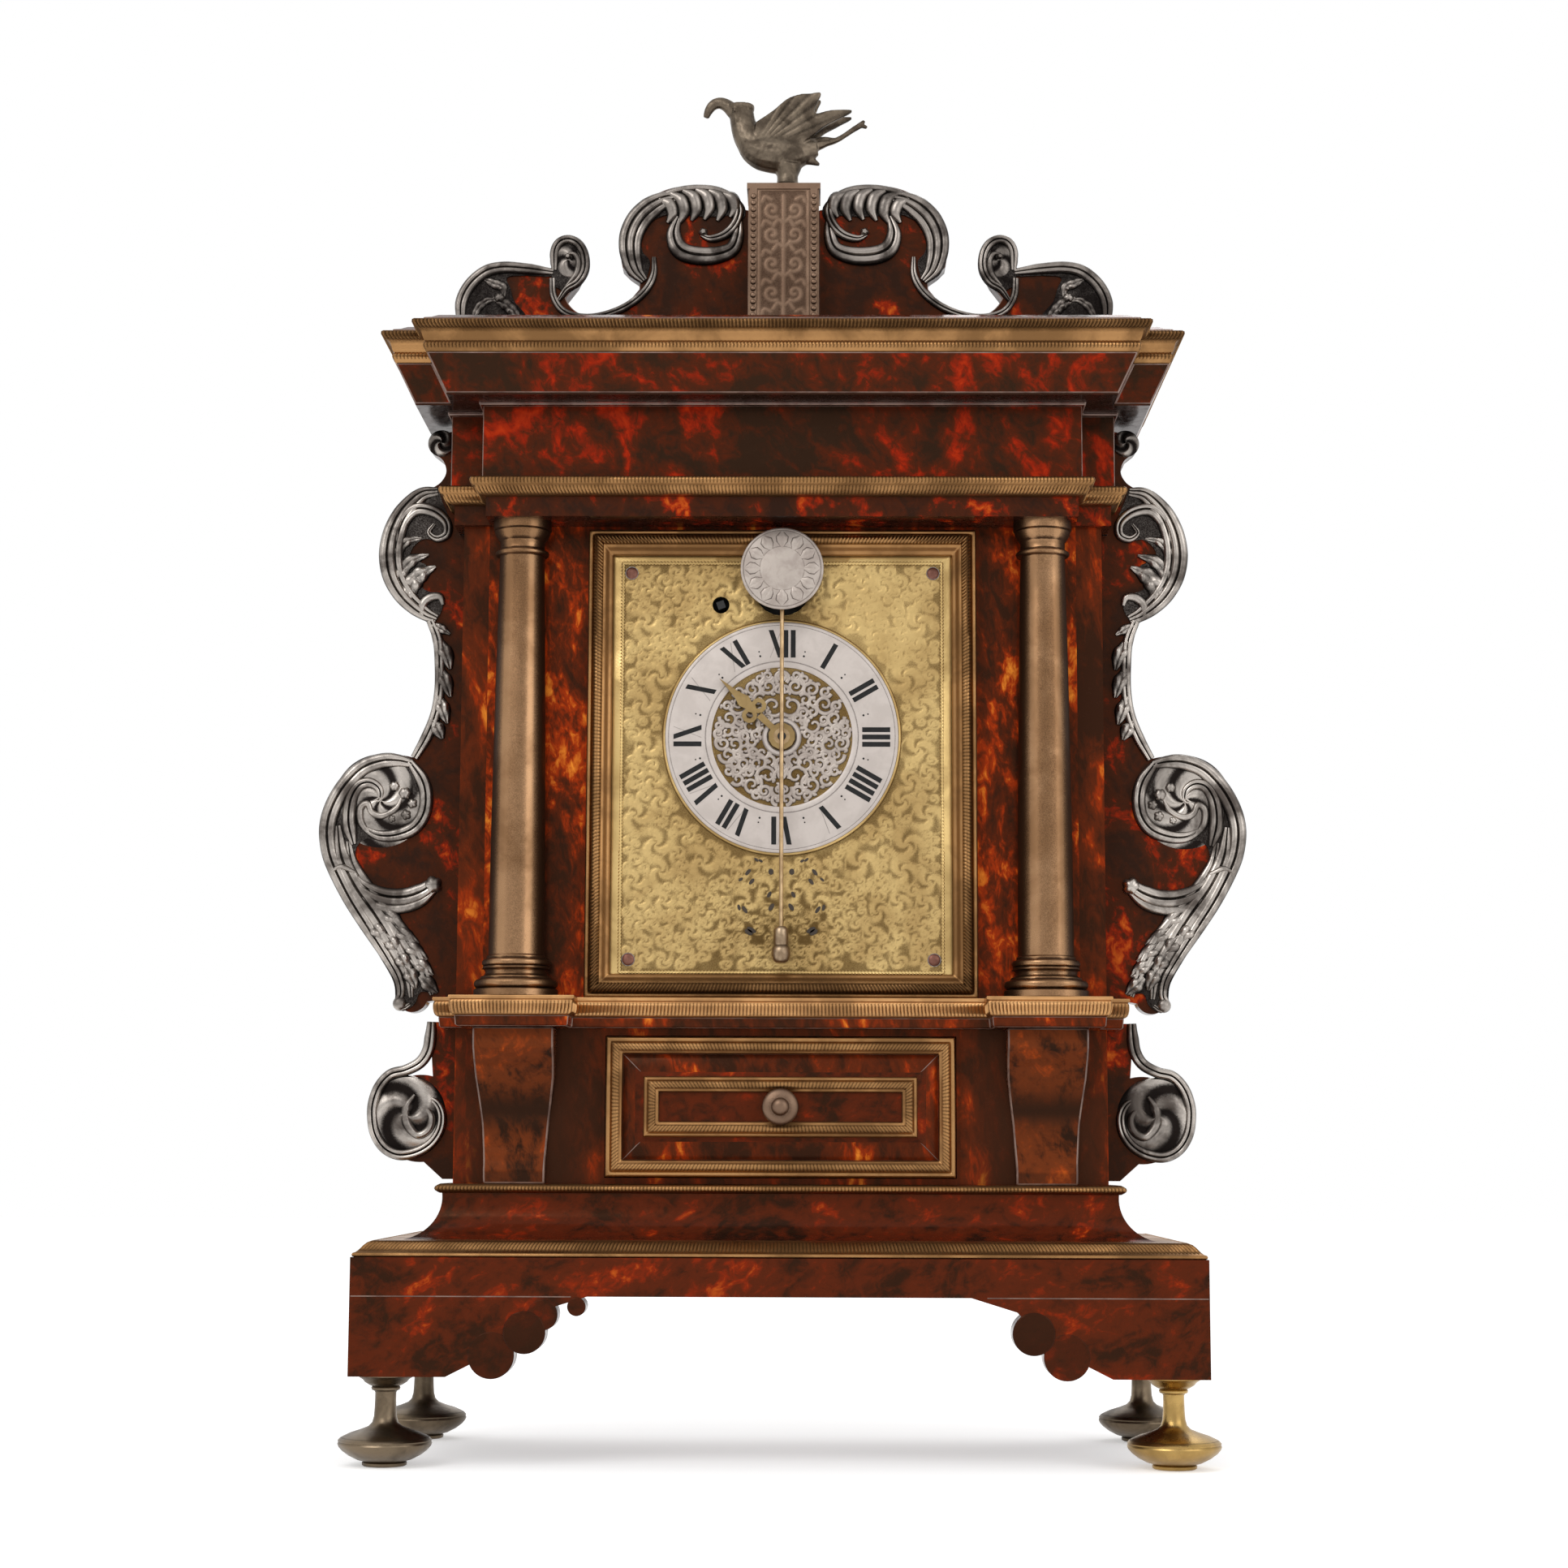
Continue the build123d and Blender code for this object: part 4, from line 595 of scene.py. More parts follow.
# brass mouldings with cut ripples
mouldings = {
    "base_moulding": (plainPlan, [(15.2, 76.5), (31.8, 76.5), (32.4, 76.8), (32.6, 77.4), (32.3, 78),
                                  (31.4, 78.3), (30.4, 78.6, 0.4), (29.4, 79.4, 0.55), (28.5, 80.4, 0.55),
                                  (27.4, 81.3, 0.55), (26, 82, 0.4), (24.6, 82.3), (21, 82.5),
                                  (15.2, 82.5)]),
    "scotia_moulding": (plainPlan, [(0, 99.5), (4.2, 99.5), (5.2, 100), (5.7, 100.7, 0.35),
                                    (5.9, 101.25, 0.4), (5.7, 101.8, 0.35), (5.2, 102.5), (4.2, 103),
                                    (0, 103)]),
    "waist_moulding": (waistPlan, [(0, 165.6), (5.8, 165.6), (6.5, 165.9), (6.8, 166.5, 0.35),
                                   (7.1, 167.4, 0.45), (7.3, 168.6, 0.5), (7.4, 169.8, 0.45),
                                   (7.4, 170.8, 0.35), (7.3, 171.4), (7.8, 171.7), (8.1, 172.3), (7.9, 173),
                                   (0, 173)]),
    "architrave_moulding": (bayPlan, [(0, 364), (3.6, 364), (4.6, 364.3), (5.8, 364.9, 0.4),
                                      (6.6, 365.8, 0.45), (7.1, 366.8, 0.45), (7.4, 367.6, 0.3),
                                      (8.4, 367.9), (8.8, 368.6, 0.35), (9, 369.5, 0.4), (8.8, 370.4, 0.35),
                                      (8.4, 371), (0, 371)]),
    "crown_moulding": (bayPlan, [(23.8, 415.3), (24.4, 415.3), (24.9, 415.8), (25, 416.4),
                                 (25.2, 416.9, 0.4), (25.4, 417.8, 0.5), (25.2, 418.7, 0.4), (25, 419.2),
                                 (25.5, 419.6), (25.9, 420.6), (26.2, 421.8), (26.6, 423), (27.2, 423.6),
                                 (28, 424, 0.4), (28.8, 424.8, 0.5), (29.3, 425.7, 0.5), (29.3, 426.5, 0.4),
                                 (28.9, 427), (23.8, 427)]),
}
ripples = {"pitch": 1.35, "smooth": 60, "darkAbove": 422.4, "dark": 0.5}
for name, (plan, profile) in mouldings.items():
    shape = sweptRuns(plan, profile, False, ripples["pitch"])
    if name == "crown_moulding":  # the top edge is coloured darker
        shape = shaded(shape, ripples["dark"] * (shape[0][:, 2] > ripples["darkAbove"]))
    look = "waistBrass" if name == "waist_moulding" else "rippleBrass"
    addPiece("rippled_" + name, shape, look, (name,), angle=ripples["smooth"])

# veneered courses between the brass
courses = {
    "frieze": (bayPlan, [(0, 371), (5, 371), (5, 399.5), (0, 399.5)], "shellStreak", ("frieze",)),
    "cornice": (bayPlan, [(0, 399.5), (6.5, 399.5), (6.5, 401, 0), (17.75, 401), (24.6, 415.3), (0, 415.3)],
                "shellStreak", ("cornice",)),
    "waist_strip": (waistPlan, [(0, 161.6), (5, 161.6), (5.6, 162.2), (5.9, 165.6), (0, 165.6)],
                    "shellPanel", ()),
    "roof_step": (bayPlan, [(8, 427), (26.2, 427), (25.8, 428.3), (23.4, 429.2), (21, 430.6), (8, 430.6)],
                  "shellPanel", ()),
}
for name, (plan, profile, look, replaced) in courses.items():
    piece = addPiece(name + "_veneered", sweptRuns(plan, profile), look, replaced)
    # the cornice gets a wider pale arris, a worn edge and a painted highlight
    softenEdges(piece, 0.6 if name == "cornice" else 0.35, "shellEdge")
soffit = sweptRuns(bayPlan, [(6.5, 400.5), (17.5, 400.5), (17.75, 401), (6.5, 401)])
addPiece("cornice_soffit", shaded(soffit, 0.9), "shellBoard")  # lies in its own shade
print("case mouldings run:", len(mouldings), "and courses:", len(courses))

# dial frame, stepped and rippled
dialFrame = {"width": 150, "height": 181.4, "z": 263.7, "seat": -31.5, "darkBelow": 182.6, "dark": 0.5,
             "profile": [(0, 0), (0, 4.6), (0.5, 5.4), (1.2, 5.5), (1.8, 5), (2.1, 4.4), (2.5, 5.8, 0.35),
                         (3.2, 6.7, 0.4), (4.1, 7, 0.4), (5, 6.7, 0.4), (5.6, 5.8, 0.3), (5.8, 4.6),
                         (6.4, 4.3), (7, 3.8), (7.6, 2.6), (8.4, 2), (9, 1.8), (9.4, 1), (9.4, 0)]}
shape = framed(dialFrame["width"], dialFrame["height"], dialFrame["z"], dialFrame["seat"],
               dialFrame["profile"], ripples["pitch"])
below = np.clip((dialFrame["darkBelow"] - shape[0][:, 2]) / 2, 0, 1)  # the foot is coloured darker
addPiece("dial_frame_ripple", shaded(shape, dialFrame["dark"] * below), "rippleBrass", ("dial_frame",),
         angle=ripples["smooth"])

# drawer mouldings and knob
drawer = {"z": 132, "outerSeat": -33.1, "innerSeat": -36.5, "innerSize": (103.4, 22.8), "borderIn": 12.8,
          "border": [(0, 0), (0, 0.3), (8.3, 3.2), (8.3, 0)],
          "outer": [(0, 0), (0, 2.8), (0.5, 3.6), (1.2, 3.9), (1.8, 3.6), (2.1, 3), (2.5, 3.3, 0.18),
                    (3.2, 3.8, 0.22), (4.1, 4, 0.22), (4.9, 3.6, 0.2), (5.4, 2.9), (5.9, 2.7), (6.4, 2.2),
                    (6.5, 0)],
          "inner": [(0, 0), (0, 1.4), (0.5, 2.1), (1.2, 2.3), (1.7, 1.8), (2.1, 2.1, 0.18),
                    (2.8, 2.5, 0.22), (3.7, 2.6, 0.22), (4.4, 2.1, 0.18), (4.8, 1.6), (5.3, 1.6),
                    (5.8, 1.1), (6, 0)],
          "knob": [(4.3, 0), (4.4, 0.8), (4.2, 1.3), (3.1, 2, 0.5), (2.7, 3, 0.5), (2.9, 4.2, 0.4),
                   (4.6, 5), (6.2, 5.6), (6.8, 6.4), (6.9, 7), (6.6, 7.7), (5.6, 8.3), (4.2, 8.7, 0.4),
                   (3.4, 9, 0.5), (3, 9.8), (2.2, 10.5), (1, 10.9)]}


def drawerBox(node):
    low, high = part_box(node)
    return (high.x - low.x) * 1000, (high.z - low.z) * 1000


outerSize = drawerBox("drawer_mouldings")
borderSize = [size - drawer["borderIn"] for size in outerSize]
for label, size in (("outer", outerSize), ("inner", drawer["innerSize"])):
    shape = framed(*size, drawer["z"], drawer[label + "Seat"], drawer[label], ripples["pitch"])
    addPiece("drawer_" + label + "_ripple", shape, "rippleBrass", ("drawer_mouldings",), "drawer",
             ripples["smooth"])
shape = framed(*borderSize, drawer["z"], drawer["outerSeat"], drawer["border"], ripples["pitch"])
softenEdges(addPiece("drawer_border_mitred", shape, "shellPanel", (), "drawer"), 0.25, "shellEdge", 18)
addPiece("drawer_knob_turned", lathed(drawer["knob"], (0, drawer["innerSeat"], drawer["z"]), "y"),
         "engravedBrass", ("drawer_knob",), "drawer")
print("drawer dressed")

# feet: three dark, the front right one bright
feet = {"x": 145.5, "front": -46.5, "back": 58.5,
        "profile": [(7.6, 0), (8.2, 0.4), (8.3, 1.3), (7.9, 1.8, 0.5), (10.2, 2.4, 0.2), (13.4, 4),
                    (15.8, 5.8), (17, 7.2), (17.4, 8.2), (17.1, 8.9, 0.5), (17.3, 9.4), (16.6, 10.2),
                    (16.1, 10.5, 0.6), (15.6, 10.8), (13, 12), (9.2, 13.2), (6.2, 14.4), (4.8, 15.8),
                    (4.2, 18), (4, 21), (3.9, 24), (3.9, 26.6), (4.2, 27.2, 0.5), (5.2, 27.6), (5.4, 28.4),
                    (5, 28.9, 0.5), (6.2, 29.4), (7.8, 30.4), (8.6, 31.4), (9.6, 32), (10.4, 32.6),
                    (10.6, 33.5)]}
for side, label in sides:
    for y, end in ((feet["front"], "front"), (feet["back"], "back")):
        look = "brightBrass" if side > 0 and end == "front" else "darkBrass"
        shape = lathed(feet["profile"], (side * feet["x"], y, 0))
        addPiece("foot_" + end + "_" + label, shape, look, ("feet",))

# columns, turned, with a flat back against the case
columns = {"y": -38.5, "z": 173, "top": 356.5, "tarnish": 0.46, "edge": (36, 26, 0.55),
           "paintedSheens": ((-28, 8, 0.46), (30, 7, 0.4))}
shaftLow, shaftHigh = columns["z"] + 16, columns["top"] - 14.0
columnProfile = [(15.6, 173), (16, 173.3), (16, 175.6), (15.6, 176, 0.5)]
columnProfile += bulge(14.4, 176.2, 179.6, 1.5) + [(13.6, 179.9, 0.7), (13.4, 180.6)]
columnProfile += bulge(13, 180.8, 183.6, -1.4, 0.2) + [(12.6, 183.9), (12.7, 184.5, 0.5)]
columnProfile += bulge(12, 184.7, 187.2, 1) + [(11.3, 187.5, 0.6), (11.2, 188.4), (10.6, shaftLow)]
for step in range(1, 10):
    t = step / 10
    columnProfile.append((10.6 - 2.0 * t ** 1.6, shaftLow + (shaftHigh - shaftLow) * t))
columnProfile += [(8.6, shaftHigh), (8.7, shaftHigh + 0.2, 0.6)]
columnProfile += bulge(9, shaftHigh + 0.4, shaftHigh + 2.6, 1.4) + [(8.8, shaftHigh + 2.9, 0.6)]
columnProfile += [(8.6, shaftHigh + 3.4), (8.6, shaftHigh + 6), (8.9, shaftHigh + 6.4, 0.5),
                  (9.6, shaftHigh + 7.4), (10.4, shaftHigh + 8.8), (10.8, shaftHigh + 10),
                  (10.6, shaftHigh + 10.4, 0.5), (11.2, shaftHigh + 10.8), (11.2, columns["top"])]
for side, label in sides:
    points, faces, marks = lathed(columnProfile, (side * case["column"], columns["y"], 0), "z", 72)
    face = np.degrees(np.arctan2(points[:, 0] - side * case["column"], columns["y"] - points[:, 1]))
    tarnishAndSheen = columns["tarnish"]
    for at, wide, share in columns["paintedSheens"]:  # painted highlights: paler streaks where lamp reflections would fall
        tarnishAndSheen = tarnishAndSheen - share * np.exp(-((face - at) / wide) ** 2)
    # painted shade: darker towards the sides of each column as seen from the front
    at, wide, share = columns["edge"]
    marks = np.clip(marks + tarnishAndSheen + share * np.clip((np.abs(face) - at) / wide, 0, 1), 0, 1)
    points[:, 1] = np.minimum(points[:, 1], case["front"] - 0.02)
    addPiece("column_" + label + "_turned", (points, faces, marks), "columnBrass", ("column_" + label,))
print("feet and columns turned")

# dial: engraved skin over the plate
dial = {"half": 66, "low": 179, "high": 346.4, "front": -30.5, "border": 5.2, "step": 0.6, "centre": 274,
        "winding": (-23.8, 325.8, 3.3), "verge": (0, 332.6, 11), "ringRoom": 47.5, "vergeRoom": (333.5, 12),
        "shades": ((0, 203, 24, 17, 0.26), (36, 316, 24, 26, -0.16)), "line": 0.4, "relief": 0.34,
        "lift": 0.22, "pierced": 0.62, "seed": 11, "curls": 230,
        "trim": [(0, 0, 0.3), (0, 0.45), (0.3, 0.6), (3.4, 0.6), (3.8, 0.56, 0.5), (4.2, 0.6),
                 (4.6, 0.5, 0.3), (4.8, 0, 0.4)], "trimPitch": 1.3}


def engravedSkin(xs, zs, lines, width, depth, front, shade, holes=(), spots=()):
    gridX, gridZ = np.meshgrid(xs, zs)
    groove, relief = np.zeros_like(gridX), np.zeros_like(gridX)
    stepX, stepZ = xs[1] - xs[0], zs[1] - zs[0]

    def window(px, pz, reach):
        i0, i1 = np.searchsorted(xs, (px - reach, px + reach))
        j0, j1 = np.searchsorted(zs, (pz - reach, pz + reach))
        return (slice(j0, j1), slice(i0, i1)) if i1 > i0 and j1 > j0 else None

    for line in lines:
        for px, pz in line:
            part = window(px, pz, 3 * width)
            if part:
                gap = (gridX[part] - px) ** 2 + (gridZ[part] - pz) ** 2
                groove[part] = np.maximum(groove[part], np.exp(-gap / width ** 2))
    for px, pz, radius in spots:  # leaf lobes wind in round each curl
        part = window(px, pz, 1.15 * radius)
        if part:
            away = np.hypot(gridX[part] - px, gridZ[part] - pz) / radius
            wind = math.copysign(5, px) * np.log(away + 0.25)
            bearing = np.arctan2(gridZ[part] - pz, gridX[part] - px)
            lobes = 0.5 + 0.5 * np.cos((2 if radius < 3.5 else 3) * bearing + wind)
            veins = 0.86 + 0.14 * np.cos(13 * bearing - 2.0 * wind)
            relief[part] = np.maximum(relief[part], np.clip(1.35 - 1.1 * away ** 2, 0, 1) * lobes * veins)
    flatX, flatZ = gridX.copy(), gridZ.copy()
    for hx, hz, radius in holes:
        away = np.hypot(gridX - hx, gridZ - hz)
        near = np.abs(away - radius) < 0.75 * max(stepX, stepZ)
        flatX[near] = hx + (gridX[near] - hx) * radius / away[near]
        flatZ[near] = hz + (gridZ[near] - hz) * radius / away[near]
    raised = np.maximum(relief, 0.7 * groove)
    points = np.c_[flatX.ravel(), (front - depth * raised).ravel(), flatZ.ravel()]
    wide = len(xs)
    middleX, middleZ = xs[:-1] + stepX / 2, zs[:-1] + stepZ / 2
    faces = []
    for j, z in enumerate(middleZ):
        for i, x in enumerate(middleX):
            if not any((x - hx) ** 2 + (z - hz) ** 2 < radius ** 2 for hx, hz, radius in holes):
                a = j * wide + i
                faces.append((a, a + 1, a + 1 + wide, a + wide))
    marks = 0.66 * (1 - raised) + shade(gridX, gridZ)
    return points, faces, np.clip(marks, 0, 1).ravel()


def foliage(seed, count, inside, small, large, area, overlap):
    picker = random.Random(seed)
    spots, curls, leaves = [], [], []
    tries, most, shrinkOver = 0, 6000, 5000
    while len(spots) < count and tries < most:
        tries += 1
        x, z = picker.uniform(0, area[0]), picker.uniform(area[1], area[2])
        radius = picker.uniform(small, max(small, large * (1 - tries / shrinkOver)))  # large ones first
        if not inside(x, z, radius):
            continue
        if any(math.hypot(x - a, z - b) < overlap * (radius + r) for a, b, r in spots):
            continue
        spots.append((x, z, radius))
        start = picker.uniform(0, 360)
        turn = picker.choice((-1, 1)) * picker.uniform(380, 560)
        curls.append(np.array(spiral((x, z), radius, 0.5, start, turn, 60)))
        for leaf in range(5):
            angle = math.radians(start + turn * (0.05 + 0.13 * leaf))
            base = radius * (1 - 0.13 * leaf)
            bend = math.radians(70 if turn > 0 else -70)
            first = np.array((x + base * math.cos(angle), z + base * math.sin(angle)))
            away = np.array((math.cos(angle + bend), math.sin(angle + bend)))
            drop = np.array((math.cos(angle), math.sin(angle)))
            middle, last = first + 0.8 * away + 0.5 * drop, first + 1.9 * away + 0.2 * drop
            leaves.append(curved([first, middle, last], 0.35))
    curls, leaves = (lines + [line * (-1, 1) for line in lines] for lines in (curls, leaves))
    return spots + [(-x, z, radius) for x, z, radius in spots], curls, leaves


def onPlate(x, z, radius):
    room = dial["border"] + radius * 0.6
    if x > dial["half"] - room or z < dial["low"] + room or z > dial["high"] - room:
        return False
    vergeZ, vergeRoom = dial["vergeRoom"]
    offRing = math.hypot(x, z - dial["centre"]) > dial["ringRoom"] + radius * 0.7
    return offRing and math.hypot(x, z - vergeZ) > vergeRoom + radius * 0.5


plateArea = (dial["half"], dial["low"], dial["high"])
plateSpots, plateLines = foliage(dial["seed"], dial["curls"], onPlate, 1.9, 8.5, plateArea, 0.66)[:2]
plateXs = np.arange(-dial["half"], dial["half"] + 0.01, dial["step"])
plateZs = np.arange(dial["low"], dial["high"] + 0.01, dial["step"])


def plateShade(x, z):  # painted shade low in the middle, painted sheen high on the right
    total = 0.0
    for atX, atZ, wide, high, share in dial["shades"]:
        total = total + share * np.exp(-(((x - atX) / wide) ** 2 + ((z - atZ) / high) ** 2))
    return total


skin = engravedSkin(plateXs, plateZs, plateLines, dial["line"], dial["relief"],
                    dial["front"] - dial["lift"], plateShade,
                    (dial["winding"], dial["verge"], (0, dial["centre"], 26)), plateSpots)
addPiece("dial_engraving", skin, "dialBrass", angle=80, closed=False)
trim = framed(2 * dial["half"], dial["high"] - dial["low"], (dial["high"] + dial["low"]) / 2, dial["front"],
              dial["trim"], dial["trimPitch"])
addPiece("dial_border_plain", trim, "dialBrass")
dress("dial_plate", "giltBrass", 0.2)
print("dial engraved with", len(plateLines), "lines")

# small piercings under the chapter ring, dark brown patches of painted shade where the holes show: place,
# half length, half width, lean
piercings = [(-12.8, 221.6, 1.5, 0.7, 50), (-9.6, 226.4, 1, 0.5, -40), (-4, 221.8, 1.2, 1, 90),
             (11.4, 218, 1.4, 0.7, -50), (12.4, 198.6, 1.7, 1, 30), (-11.4, 199.4, 1.9, 0.9, -30),
             (-3.8, 208.2, 1.6, 0.8, 55), (4.6, 213, 1.3, 0.7, -60), (-15.6, 218.8, 1, 0.5, 40),
             (-14, 207.2, 1.6, 0.7, -55), (8, 226, 0.9, 0.5, 30), (16.2, 208, 1.2, 0.6, 75)]
spots = []
for x, z, longer, shorter, lean in piercings:
    turn = math.radians(lean)
    rim = [(x + longer * math.cos(a) * math.cos(turn) - shorter * math.sin(a) * math.sin(turn),
            z + longer * math.cos(a) * math.sin(turn) + shorter * math.sin(a) * math.cos(turn))
           for a in np.linspace(0, 2 * math.pi, 16, endpoint=False)]
    hole = extruded(rim, dial["front"] - dial["pierced"], dial["front"] - 0.05)
    spots += [hole, flipped(hole)]
addPiece("dial_piercings", joined(spots), "piercingShade")

# four rivets in the corners of the plate
rivet = {"x": (-58.5, 58.5), "z": (188, 338.3),
         "profile": [(2.6, 0, 0.8), (2.6, 0.5), (2.2, 1), (1.2, 1.35)]}
rivets = [lathed(rivet["profile"], (x, dial["front"], z), "y", 24) for x in rivet["x"] for z in rivet["z"]]
addPiece("dial_rivet_heads", joined(rivets), "copperRivet")

# chapter ring with hours as thick and hair strokes
chapter = {"numeralLow": 31, "numeralHigh": 41.8, "thick": 1.9, "hair": 0.3, "foot": 1.1,
           "ring": [(27.2, 0), (27.2, 1), (27.5, 1.2), (28.6, 1.2), (29.2, 1.2, 0.35), (29.5, 1.14, 0.9),
                    (29.8, 1.2, 0.3), (30.4, 1.2), (43.4, 1.2), (43.7, 1.14, 0.8), (44, 1.2, 0.2),
                    (44.6, 1.2), (45, 0.9), (45, 0)],
           "rim": [(45.1, 0, 0.6), (45.1, 0.8, 0.4), (45.4, 1), (45.8, 0.8), (46.1, 0.5, 0.7),
                   (46.2, 0, 0.9)]}
ring = lathed(chapter["ring"], (0, dial["front"], dial["centre"]), "y", 160)
addPiece("chapter_ring_silvered", ring, "silvered", ("chapter_ring",))
rim = lathed(chapter["rim"], (0, dial["front"] - 0.2, dial["centre"]), "y", 160)
addPiece("chapter_ring_rim", rim, "dialBrass")
hours = ["XII", "I", "II", "III", "IIII", "V", "VI", "VII", "VIII", "IX", "X", "XI"]
low, high = chapter["numeralLow"], chapter["numeralHigh"]
letters = {"I": (2.85, [(0.95, 0.95, "thick")]), "V": (5.9, [(3, 0.9, "thick"), (3.4, 5.2, "hair")]),
           "X": (5.7, [(4.6, 0.9, "thick"), (0.6, 4.9, "hair")])}


def strokesOf(text):
    strokes, x = [], 0.0
    for letter in text:
        step, lines = letters[letter]
        strokes += [(x + foot, x + head, chapter[kind]) for foot, head, kind in lines]
        x += step
    middle = (x - 1) / 2
    return [((foot - middle, low), (head - middle, high), wide) for foot, head, wide in strokes]


marksOnRing, hairsOnRing = [], []
for hour, text in enumerate(hours):
    angle = math.radians(30 * hour)
    cosine, sine = math.cos(angle), math.sin(angle)

    def onRing(across, radius):
        return (across * cosine + radius * sine, dial["centre"] - across * sine + radius * cosine)

    for first, last, wide in strokesOf(text):
        edge = [onRing(first[0] - wide / 2, first[1]), onRing(first[0] + wide / 2, first[1]),
                onRing(last[0] + wide / 2, last[1]), onRing(last[0] - wide / 2, last[1])]
        target, lift = (marksOnRing, 1.26) if wide > 1 else (hairsOnRing, 1.23)
        target.append(extruded(edge, dial["front"] - lift, dial["front"] - chapter["foot"]))
    half = math.radians(30 * hour + 15)
    for radius, size in ((32.6, 0.42), (34.4, 0.3)):
        spot = (radius * math.sin(half), dial["centre"] + radius * math.cos(half))
        edge = arcPoints(spot, size, 0, 330, 11)
        marksOnRing.append(extruded(edge, dial["front"] - 1.25, dial["front"] - chapter["foot"]))
addPiece("chapter_numerals", joined(marksOnRing), "blackWax")
addPiece("chapter_hairlines", joined(hairsOnRing), "hairGrey")
print("chapter ring lettered")

# rosette: gilt dish under pierced silver scrolls; the dish's marks darken it as painted shade under them
rosette = {"radius": 26.4, "front": -30.5, "seed": 5, "curls": 90,
           "dish": [(26.6, 0, 0.8), (26.4, 0.3, 0.7), (24, 0.35, 0.74), (12, 0.35, 0.78), (6.6, 0.4, 0.8)],
           "collar": [(5.4, 0, 0.8), (5.4, 0.9, 0.4), (5.9, 1.4), (6.9, 1.4), (7.5, 0.9, 0.4),
                      (7.7, 0, 0.9)]}
dish = lathed(rosette["dish"], (0, rosette["front"], dial["centre"]), "y", 96)
addPiece("rosette_dish", dish, "dialBrass", ("dial_rosette",))


def inRosette(x, z, radius):
    away = math.hypot(x, z - dial["centre"])
    return 7.6 + 0.7 * radius < away < rosette["radius"] - 0.9 * radius


base = rosette["front"] - 0.3
rosetteArea = (rosette["radius"], dial["centre"] - rosette["radius"], dial["centre"] + rosette["radius"])
curls, leaves = foliage(rosette["seed"], rosette["curls"], inRosette, 2, 4.6, rosetteArea, 0.7)[1:]
scrolls = [ribbon(curl[::4], (1.7, 1.5, 1.1), (1, 0.9, 0.8), base, 1, 0, 0.5) for curl in curls]
scrolls += [ribbon(leaf, (1, 1.9, 0.8), (0.7, 1, 0.5), base, 1, 0, 0.5) for leaf in leaves[::3]]
addPiece("rosette_scrolls", joined(scrolls), "discSilver", ("dial_rosette",))
collar = lathed(rosette["collar"], (0, base, dial["centre"]), "y", 64)
addPiece("rosette_collar", collar, "silvered", ("dial_rosette",))
print("rosette pierced")

# pendulum: disc with petals, rod and bob
pendulum = {"y": -38, "discZ": 338.25, "discSeat": -40, "petalSeat": -41.15, "petals": 12, "bobZ": 186.4,
            "petalAt": (8.4, 10.4, 12.4, 14.4),
            "disc": [(15.6, 0), (16, 0.2), (16, 0.9), (15.7, 1.15), (15.2, 1.2, 0.4), (14.9, 1.1, 0.7),
                     (14.6, 1.2, 0.2), (9, 1.25), (8.6, 1.18, 0.6), (8.2, 1.25), (2, 1.3)],
            "bob": [(1.7, 0), (2.6, 0.5), (3.3, 1.6), (3.65, 3.2), (3.5, 5), (3, 6.1, 0.5), (2.5, 6.6, 0.6),
                    (2.8, 7.2), (2.8, 12.4), (2.4, 13.2), (1.8, 13.8)]}
disc = lathed(pendulum["disc"], (0, pendulum["discSeat"], pendulum["discZ"]), "y", 96)
addPiece("pendulum_disc_turned", disc, "discSilver", ("pendulum_disc",), "pendulum")
petalShapes = []
for index in range(pendulum["petals"]):
    angle = 2 * math.pi * index / pendulum["petals"]
    spine = [(r * math.sin(angle), pendulum["discZ"] + r * math.cos(angle)) for r in pendulum["petalAt"]]
    petalShapes.append(ribbon(spine, (1.2, 4.4, 5, 1.2), (0.2, 0.55, 0.55, 0.2), pendulum["petalSeat"],
                              "leaf", 0, 0.5))
addPiece("pendulum_disc_petals", joined(petalShapes), "discSilver", ("pendulum_disc",), "pendulum")
bob = lathed(pendulum["bob"], (0, pendulum["y"], pendulum["bobZ"]), "z", 40)
addPiece("pendulum_bob_turned", bob, "bobSteel", ("pendulum_bob",), "pendulum")
dress("pendulum_rod", "rodBrass", 0)
print("pendulum made")

# pediment boards with a smooth outline, and the mount on them
pediment = {"front": -18, "back": -9, "foot": 430.0}


def pedimentEdge():
    edge = [(14, pediment["foot"]), (128, pediment["foot"])]
    edge += arcPoints((109, 446.4), 19, 0, 90, 20)
    edge += arcPoints((85.4, 468.5), 7, -28, 205, 30)
    edge += [(82.4, 458.6)]
    edge += arcPoints((76, 457), 11.8, -22, -135, 20)
    edge += [(61.2, 452), (57.6, 456.4), (57.4, 459.6), (61.6, 462.6)]
    edge += arcPoints((38, 472), 27.2, -14, 140, 40)
    edge += [(14, 489)]
    return edge


board = extruded(pedimentEdge(), pediment["front"], pediment["back"])
piece = addPiece("pediment_boards_sawn", bothSides(board), "shellBoard", ("pediment_boards",))
softenEdges(piece, 0.35, "shellEdge")

